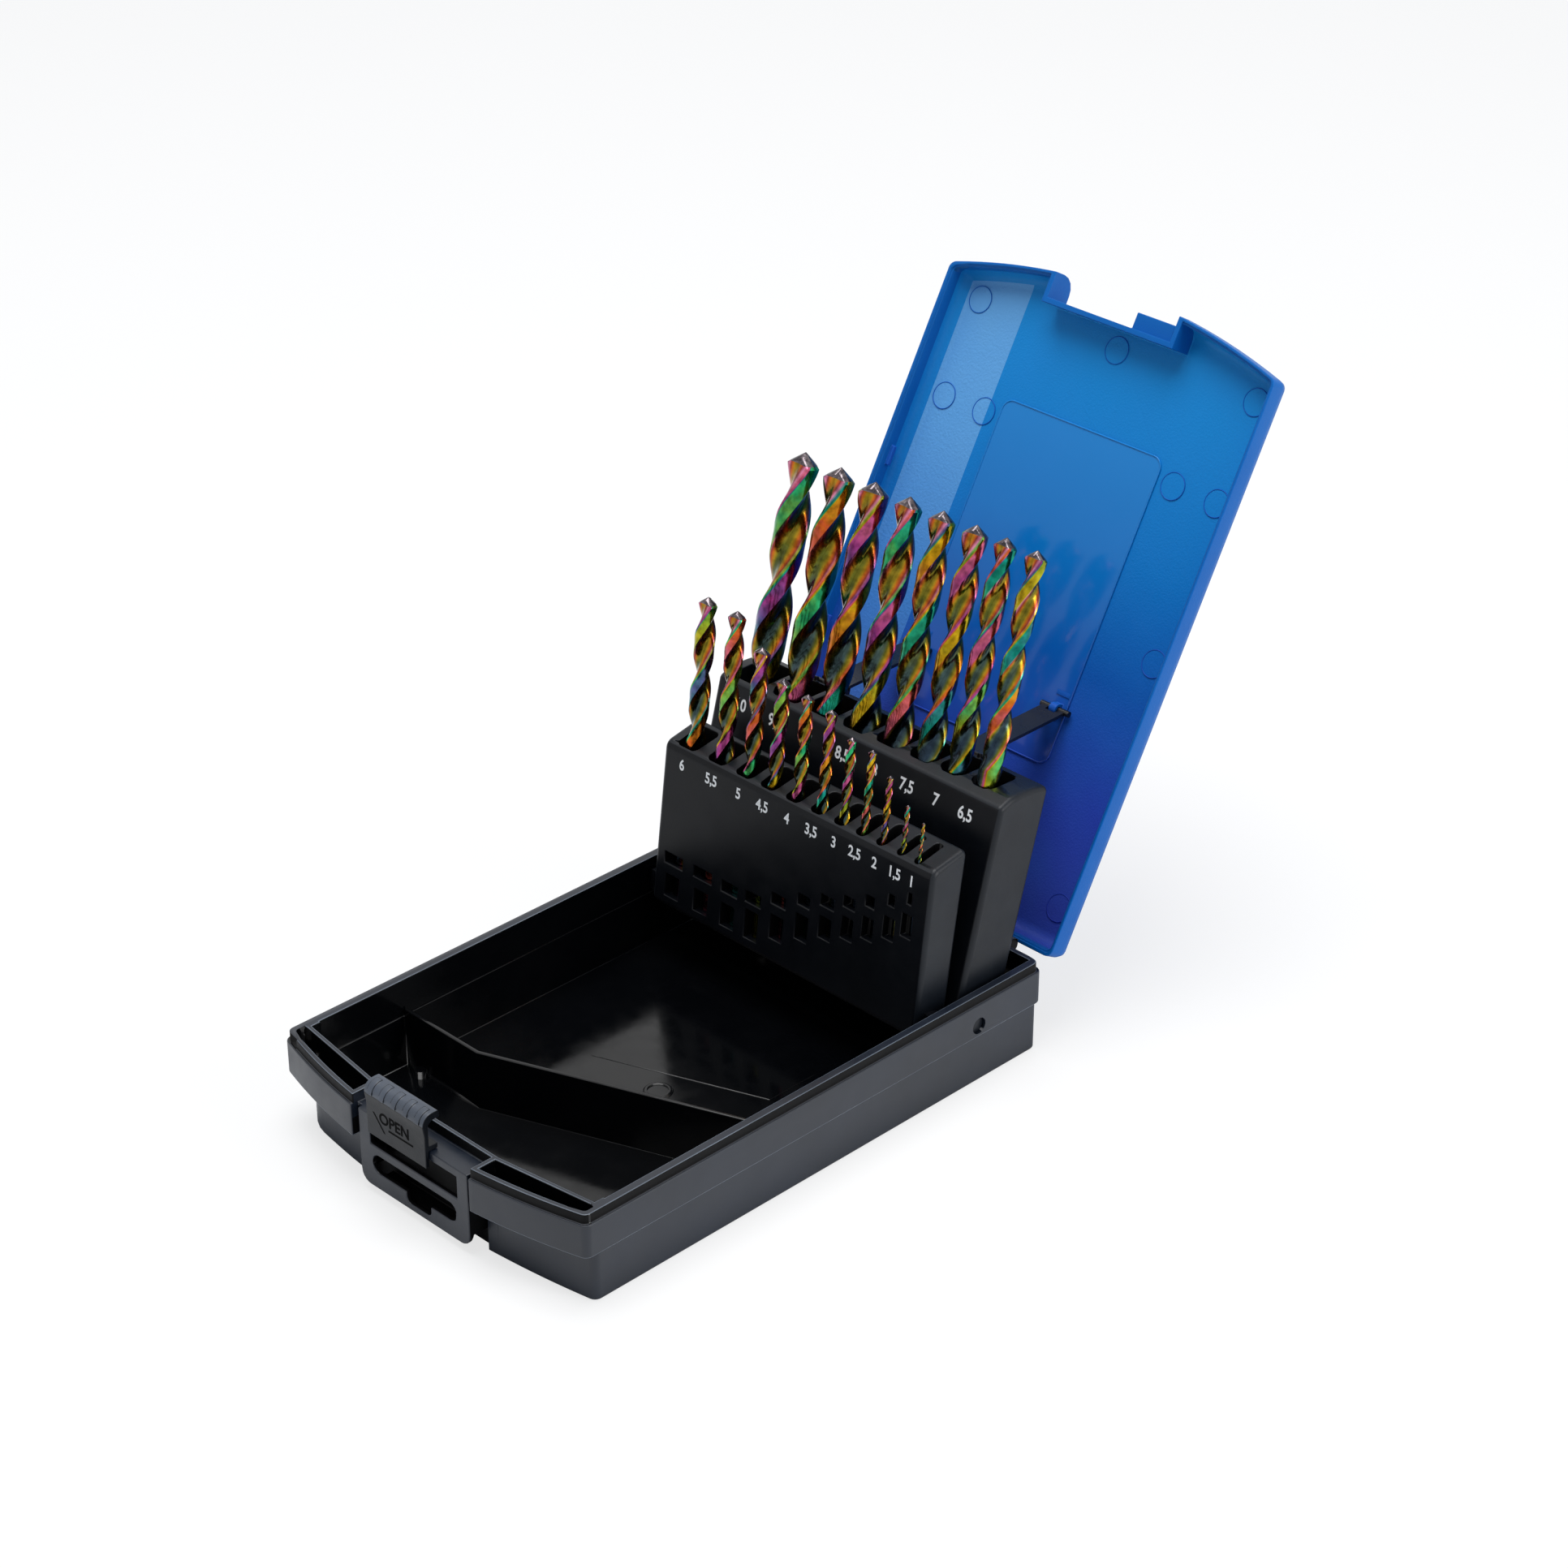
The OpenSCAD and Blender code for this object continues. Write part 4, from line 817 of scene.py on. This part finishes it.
stand_drills(REAR_DRILLS, REAR_LEAN, lambda d: REAR_LINE, REAR_TOP, REAR_FILM)
stand_drills(FRONT_DRILLS, FRONT_LEAN, lambda d: -FRONT_FACE + FRONT_SKIN + d / 2,
             FRONT_TOP, FRONT_FILM)


# ------------------------------------------------------------------ numbers and marks

def lettering(text, size, width, bold, thick=0.05):
    """Flat condensed lettering about its own middle, in millimetres."""
    curve = bpy.data.curves.new("letters", "FONT")
    curve.body = text
    curve.size = size
    curve.align_x = "CENTER"
    curve.extrude = thick / 2
    curve.offset = bold * size
    mesh = plain_mesh("letters", curve)
    mesh.transform(Matrix.Diagonal((width, 1, 1, 1)))
    return mesh


def join_up(name, meshes, materials, body):
    """Makes meshes one piece."""
    joined = bmesh.new()
    for mesh in meshes:
        joined.from_mesh(mesh)
        bpy.data.meshes.remove(mesh)
    mesh = bpy.data.meshes.new(name)
    joined.to_mesh(mesh)
    joined.free()
    finish_mesh(name, mesh, materials, body)


stand_up = Matrix.Rotation(math.radians(90), 4, "X")


def number_rack(name, drills, lean, face, top, drop, size, body):
    """White size numbers along a rack's front face, their middles a drop below its top."""
    middle = size * 0.35
    marks = []
    for diameter, _, _, x, _ in drills:
        mark = lettering(f"{diameter:g}".replace(".", ","), size, width=0.86, bold=0.022)
        mark.transform(rack_frame(lean) @ Matrix.Translation(
            (x, -face, top - drop - middle)) @ stand_up)
        marks.append(mark)
    join_up(name, marks, [white_ink], body)


number_rack("numbers_front", FRONT_DRILLS, FRONT_LEAN, FRONT_FACE, FRONT_TOP, drop=5.1,
            size=4.6, body="front_rack")
number_rack("numbers_rear", REAR_DRILLS, REAR_LEAN, REAR_FACE, REAR_TOP, drop=6.5, size=5.1,
            body="rear_rack")


def flat_shape(points):
    """A flat shape with these corners, in millimetres."""
    mesh = bpy.data.meshes.new("flat_shape")
    mesh.from_pydata([(x, y, 0) for x, y in points], [], [range(len(points))])
    return mesh


def mark_latch():
    """The word and the arrow cut into the latch's face, drawn as flat marks of painted shade just
    proud of it.
    """
    left, face, low = LATCH_FACE
    word = lettering("OPEN", 4.7, width=1.0, bold=0.02)
    word.transform(Matrix.Translation((11.4, 5.8, 0)))
    # an arrow that points down to the left: a slanted head and a line under the word
    line = flat_shape([(8.9, 4.3), (18.9, 4.3), (18.9, 4.9), (8.9, 4.9)])
    head = flat_shape([(2.6, 7.9), (6.9, 2.9), (7.6, 2.9), (3.3, 7.9)])
    proud = 0.03
    for mark in (word, line, head):
        mark.transform(Matrix.Scale(MM, 4) @ Matrix.Translation((left, face - proud, low))
                       @ stand_up)
    join_up("latch_marks", [word, line, head], [engraving_shade_plastic], "latch")


mark_latch()

# ------------------------------------------------------------------ studio

WHITE, SKY = (1, 1, 1, 1), (0.80, 0.86, 0.95, 1)
# half the floor's width, in metres
FLOOR_HALF = 6

floor_mesh = bpy.data.meshes.new("studio_floor")
bm = bmesh.new()
bmesh.ops.create_grid(bm, x_segments=1, y_segments=1, size=FLOOR_HALF)
bm.to_mesh(floor_mesh)
bm.free()
floor = bpy.data.objects.new("studio_floor", floor_mesh)
scene.collection.objects.link(floor)
# matt paper that the camera sees nearly white, with the object's shadow on it
floor_paint, tree = new_material("studio_paper")
paper = add(tree, "ShaderNodeBsdfPrincipled", {"Base Color": linear("#f4f4f4"),
                                               "Roughness": 0.9})
glow = add(tree, "ShaderNodeEmission", {"Color": WHITE, "Strength": 1.0})
seen = add(tree, "ShaderNodeLightPath").outputs["Is Camera Ray"]
PAPER_GLOW = 0.72
share = add(tree, MATH, {0: seen, 1: PAPER_GLOW}, operation="MULTIPLY")
both = add(tree, "ShaderNodeMixShader", {0: share, 1: paper, 2: glow})
add(tree, "ShaderNodeOutputMaterial", {"Surface": both})
floor_mesh.materials.append(floor_paint)

# the camera and mirror reflections see a white studio, and its light is soft and cool
world = bpy.data.worlds.new("studio")
scene.world = world
world.use_nodes = True
tree = world.node_tree
tree.nodes.clear()
rays = add(tree, "ShaderNodeLightPath").outputs
seen = add(tree, MATH, {0: rays["Is Camera Ray"], 1: rays["Is Transmission Ray"]},
           operation="MAXIMUM")
seen = add(tree, MATH, {0: seen, 1: rays["Is Glossy Ray"]}, operation="MAXIMUM")
soft = add(tree, "ShaderNodeBackground", {"Color": SKY, "Strength": 0.4})
white = add(tree, "ShaderNodeBackground", {"Color": WHITE, "Strength": 1.0})
mixed = add(tree, "ShaderNodeMixShader", {0: seen, 1: soft, 2: white})
add(tree, "ShaderNodeOutputWorld", {"Surface": mixed})


def soft_box(name, place, aim, size, power):
    """A rectangular studio lamp, in metres and watts."""
    data = bpy.data.lights.new(name, "AREA")
    data.shape = "RECTANGLE"
    data.size, data.size_y = size
    data.energy = power
    lamp = bpy.data.objects.new(name, data)
    scene.collection.objects.link(lamp)
    lamp.location = place
    lamp.rotation_euler = (Vector(aim) - Vector(place)).to_track_quat("-Z", "Y").to_euler()


soft_box("overhead", (-0.1, 0.0, 1.5), aim=(0, 0.05, 0.05), size=(1.0, 1.0), power=20)
soft_box("side_right", (1.3, 0.35, 0.55), aim=(0, 0.05, 0.06), size=(0.6, 1.0), power=10)

# the photograph's viewing angle: the camera's right, up and back, then its place in metres
camera_data = bpy.data.cameras.new("photo_camera")
camera_data.lens = 88.76
camera_data.sensor_width = 36
camera_data.clip_start = 0.05
camera_data.clip_end = 30
camera = bpy.data.objects.new("photo_camera", camera_data)
scene.collection.objects.link(camera)
camera.matrix_world = Matrix((
    (0.70372, 0.71048, 0, 0), (-0.35221, 0.34886, 0.86847, 0),
    (0.61703, -0.61116, 0.49573, 0), (0.65713, -0.60651, 0.60573, 1))).transposed()
scene.camera = camera
scene.view_settings.view_transform = "Standard"
